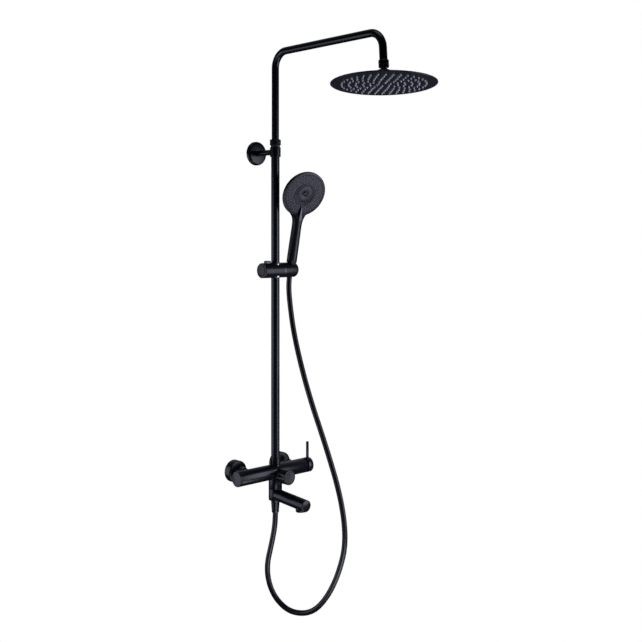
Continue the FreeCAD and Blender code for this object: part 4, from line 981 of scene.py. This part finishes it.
def makeSlider(size):
    radius, height = size["radius"], size["height"]
    middle = standing(height)
    barrel = spun([(0, size["left"] + 3.7), (radius, size["left"] + 3.7), (radius, size["split"] - 0.5),
                   (radius - 0.5, size["split"]), (0, size["split"])], alongX(0, height), 96)
    hole = spun([(0, -40), (13.5, -40), (13.5, 40), (0, 40)], middle, 72)
    window = bmesh.new()
    bmesh.ops.create_cube(window, size=1.0)
    bmesh.ops.scale(window, vec=(16.6, 11.6, 19), verts=window.verts)
    bmesh.ops.translate(window, vec=(size["tabX"], axisY, height + 16.5), verts=window.verts)
    body = cutAway(barrel, hole, window)
    beads = [saddleBead(13.6, radius - 0.1, 0.45, up, middle) for up in (1, -1)]
    finishPiece(joined(body, *beads), "sliderBody", "slider", "black_plastic", "slider_body")
    dial = spun([(0, 0.9), (9.6, 0.9), (9.9, 0.55), (10.6, 0.55), (10.9, 0.9), (14.4, 0.9), (14.9, 0.5),
                 (15.4, 0), (radius - 1.9, 0), (radius - 0.7, 0.35), (radius, 1.4), (radius, 3.45),
                 (11.9, 3.45),
                 (11.9, 7), (0, 7)], alongX(size["left"], height), 96)
    finishPiece(dial, "sliderEndCap", "slider", "black_plastic", "slider_end_cap")
    ring = spunRing(5.2, radius - 0.7, size["split"] + 0.1, size["holderStart"] - 0.15,
                    alongX(0, height), 0.15, 96)
    finishPiece(ring, "frictionRing", "slider", "spring_steel", "friction_ring")
    lining = spunRing(11.06, 13.45, height - 18.2, height + 18.2, standing(), 0.5)
    finishPiece(lining, "sliderLiner", "slider_carriage", "spring_steel", "slider_liner")
    tab = bmesh.new()
    bmesh.ops.create_cube(tab, size=1.0)
    bmesh.ops.scale(tab, vec=(15.8, 10.8, 14.2), verts=tab.verts)
    bmesh.ops.translate(tab, vec=(size["tabX"], axisY, height + 17.7), verts=tab.verts)
    roundSharp(tab, 1.5, 3)
    ribs = []
    for index in range(-2, 3):
        rib = bmesh.new()
        bmesh.ops.create_cube(rib, size=1.0)
        bmesh.ops.scale(rib, vec=(0.9, 7.4, 0.7), verts=rib.verts)
        bmesh.ops.translate(rib, vec=(size["tabX"] + index * 2.4, axisY, height + 24.8), verts=rib.verts)
        ribs.append(roundSharp(rib, 0.25, 2))
    finishPiece(joined(tab, *ribs), "releaseTab", "release_tab", "gloss_black", "release_tab")


handleLean = Matrix.Translation(pivot * 1000) @ Matrix.Rotation(math.radians(12), 4, "X")


def makeHolder(size):
    radius, height, end = size["radius"], size["height"], size["holderEnd"]
    barrel = spun([
        (0, size["holderStart"]), (radius - 0.5, size["holderStart"]), (radius, size["holderStart"] + 0.5),
        (radius, end - 9), (radius - 0.35, end - 6.6), (radius - 1.3, end - 4.3), (radius - 2.9, end - 2.3),
        (radius - 5.2, end - 0.8), (radius - 8, end - 0.1), (0, end),
    ], alongX(0, height), 96)
    cone = spun([(0, -14.5), (8.85, -14.5), (11.25, 20), (14.25, 32), (0, 32)], handleLean, 64)
    mouth = spun([(0, -32), (13, -32), (8.7, -16), (8.7, -12), (0, -12)], handleLean, 64)
    bolt = spun([(0, 20), (5, 20), (5, 30.7), (7.4, 30.7), (7.4, 44.7), (0, 44.7)], alongX(0, height), 40)
    finishPiece(cutAway(barrel, cone, mouth, bolt), "holderCradle", "holder", "black_plastic", "holder")
    nut = spun([
        (7.05, -14), (8.0, -14), (8.6, -13.4), (8.9, -9.0), (8.6, -8.7), (8.65, -8.1), (9.0, -7.8),
        (10.6, 15.2),
        (10.35, 15.5), (10.4, 16.1), (10.75, 16.4), (11.0, 18.8), (10.6, 19.2), (7.05, 19.2),
    ], handleLean, 72, closed=True)
    finishPiece(nut, "hoseConeNut", "cone_nut", "black_plastic", "hose_cone_nut")


# handset

handset = {"twist": -9.9, "faceForward": 17.8, "faceHeight": 203.9, "faceTilt": 13.3, "radius": 61.2,
           "rim": 9.0,
           "depth": 25.0, "sides": 64,
           "rows": 40, "ringRadii": (32.8, 37.6, 42.4, 47.2, 51.4),
           "nozzle": {"radius": 1.5, "tip": 1.2, "hole": 0.4, "reach": 1.7, "sides": 8, "bottom": 0.8},
           "midRings": ((7, 8), (11.5, 14), (16, 20), (20, 26)),  # radius and number of nozzles
           "midNozzle": {"radius": 0.95, "tip": 0.7, "hole": 0.3, "reach": 1.0, "sides": 8, "bottom": -0.1},
           "buttonHalf": 5.5}
twistFrame = handleLean @ Matrix.Rotation(math.radians(handset["twist"]), 4, "Z")
faceFrame = (twistFrame @ Matrix.Translation((0, -handset["faceForward"], handset["faceHeight"]))
             @ Matrix.Rotation(math.radians(handset["faceTilt"] - 90), 4, "X"))


def makeHandset(size):
    radius, rim, depth = size["radius"], size["rim"], size["depth"]
    # height, half width, front and back of each section up the handle
    sections = [
        (19.9, 12.6, -12.6, 12.6), (20.2, 13.2, -13.2, 13.2), (21.0, 13.5, -13.5, 13.5),
        (40, 13.55, -13.55, 13.55),
        (70, 13.4, -13.4, 13.4), (100, 13.0, -13.0, 13.0), (116, 12.8, -12.8, 12.8), (124, 13.2, -12.8, 12.5),
        (131, 14.3, -12.6, 12.0), (137, 16.2, -12.0, 11.3), (142, 18.9, -10.9, 10.5), (147, 22.4, -9.0, 9.6),
        (151, 26.0, -6.7, 8.9), (155, 30.0, -5.0, 8.2), (160, 34.6, -4.6, 7.4), (166, 39.0, -4.6, 6.5),
    ]
    grip = bmesh.new()
    loops = []
    for height, half, front, back in sections:
        shape = (twistFrame @ Matrix.Translation((0, (front + back) / 2, height))
                 @ Matrix.Diagonal((half, (back - front) / 2, 1, 1)))
        made = bmesh.ops.create_circle(grip, segments=size["sides"], radius=1.0, matrix=shape)
        loops.append(list({edge for vert in made["verts"] for edge in vert.link_edges}))
    for lower, upper in zip(loops, loops[1:]):
        bmesh.ops.bridge_loops(grip, edges=lower + upper)
    for loop in (loops[0], loops[-1]):
        bmesh.ops.holes_fill(grip, edges=loop, sides=0)
    bmesh.ops.recalc_face_normals(grip, faces=grip.faces)
    head = spun([
        (0, 8), (54.9, 8), (54.9, 0.6), (55.5, 0), (radius - 1.7, 0), (radius - 0.5, 0.5), (radius, 1.7),
        (radius, rim - 2), (radius - 0.5, rim - 0.6), (radius - 1.9, rim + 0.9), (radius - 8, rim + 4.6),
        (radius * 0.82, depth - 9.4), (radius * 0.68, depth - 7), (radius * 0.54, depth - 4.3),
        (radius * 0.4, depth - 2), (radius * 0.2, depth - 0.3), (0, depth),
    ], faceFrame, 144)
    finishPiece(joined(grip, head), "handsetShell", "handset", "black_plastic", "handset_shell", smooth=32)
    plate = spun([
        (0, -0.7), (3.8, -0.65), (4.2, -0.35), (4.8, -0.35), (5.2, -0.6), (22.0, -0.2), (22.7, 0.1),
        (23.0, 0.9),
        (25.8, 0.9), (26.1, 0.1), (26.6, -0.25), (29.2, -0.25), (30.0, 0.1), (30.3, 0.7), (52.9, 0.7),
        (53.3, 0.2),
        (54.5, 0.2), (54.5, 7.7), (0, 7.7),
    ], faceFrame, 144)
    finishPiece(plate, "sprayPlate", "handset", "handset_face", "spray_faceplate")
    nozzles = []
    for reach in size["ringRadii"]:
        for row in range(size["rows"]):
            turn = math.tau * row / size["rows"]
            if abs(math.remainder(turn - math.pi / 2, math.tau)) * reach < size["buttonHalf"]:
                continue  # the button lies over these
            place = faceFrame @ Matrix.Rotation(turn, 4, "Z") @ Matrix.Translation((reach, 0, 0))
            nozzles.append(nozzleAt(place, **size["nozzle"]))
    for reach, count in size["midRings"]:
        for step in range(count):
            place = faceFrame @ Matrix.Rotation(math.tau * step / count, 4,
                                                "Z") @ Matrix.Translation((reach, 0, 0))
            nozzles.append(nozzleAt(place, **size["midNozzle"]))
    finishPiece(joined(*nozzles), "sprayNozzles", "handset", "dark_silicone", "handset_nozzles")
    # dagger-shaped button: station, half width, top and foot
    stations = [(34, 1.2, -2.8, -1.9), (42, 2.3, -5.0, -1.9), (50, 3.4, -7.2, -1.9), (60, 4.7, -10.0, -6.6),
                (69, 4.7, -12.6, -7.0)]
    button = bmesh.new()
    loops = []
    for along, half, top, foot in stations:
        corners = [button.verts.new(faceFrame @ Vector(point)) for point in (
            (-half, along, foot), (-half * 0.78, along, top), (half * 0.78, along, top), (half, along, foot))]
        loops.append([button.edges.new((corners[i], corners[(i + 1) % 4])) for i in range(4)])
    for lower, upper in zip(loops, loops[1:]):
        bmesh.ops.bridge_loops(button, edges=lower + upper)
    for loop in (loops[0], loops[-1]):
        bmesh.ops.holes_fill(button, edges=loop, sides=0)
    bmesh.ops.recalc_face_normals(button, faces=button.faces)
    roundSharp(button, 0.7, 3, 25)
    finishPiece(button, "modeButton", "mode_button", "gloss_black", "mode_button", smooth=50)


makeMixer(mixer)
makeHandle()
makeDiverter(diverter)
makeSpout(spout)
print("mixer and spout ready")
makeWallSide(wallSide)
makeArm(arm)
makeSwivel()
makeRose(rose)
print("riser, arm and rose ready")
makeSlider(slider)
makeHolder(slider)
makeHandset(handset)
print("slider and handset ready")
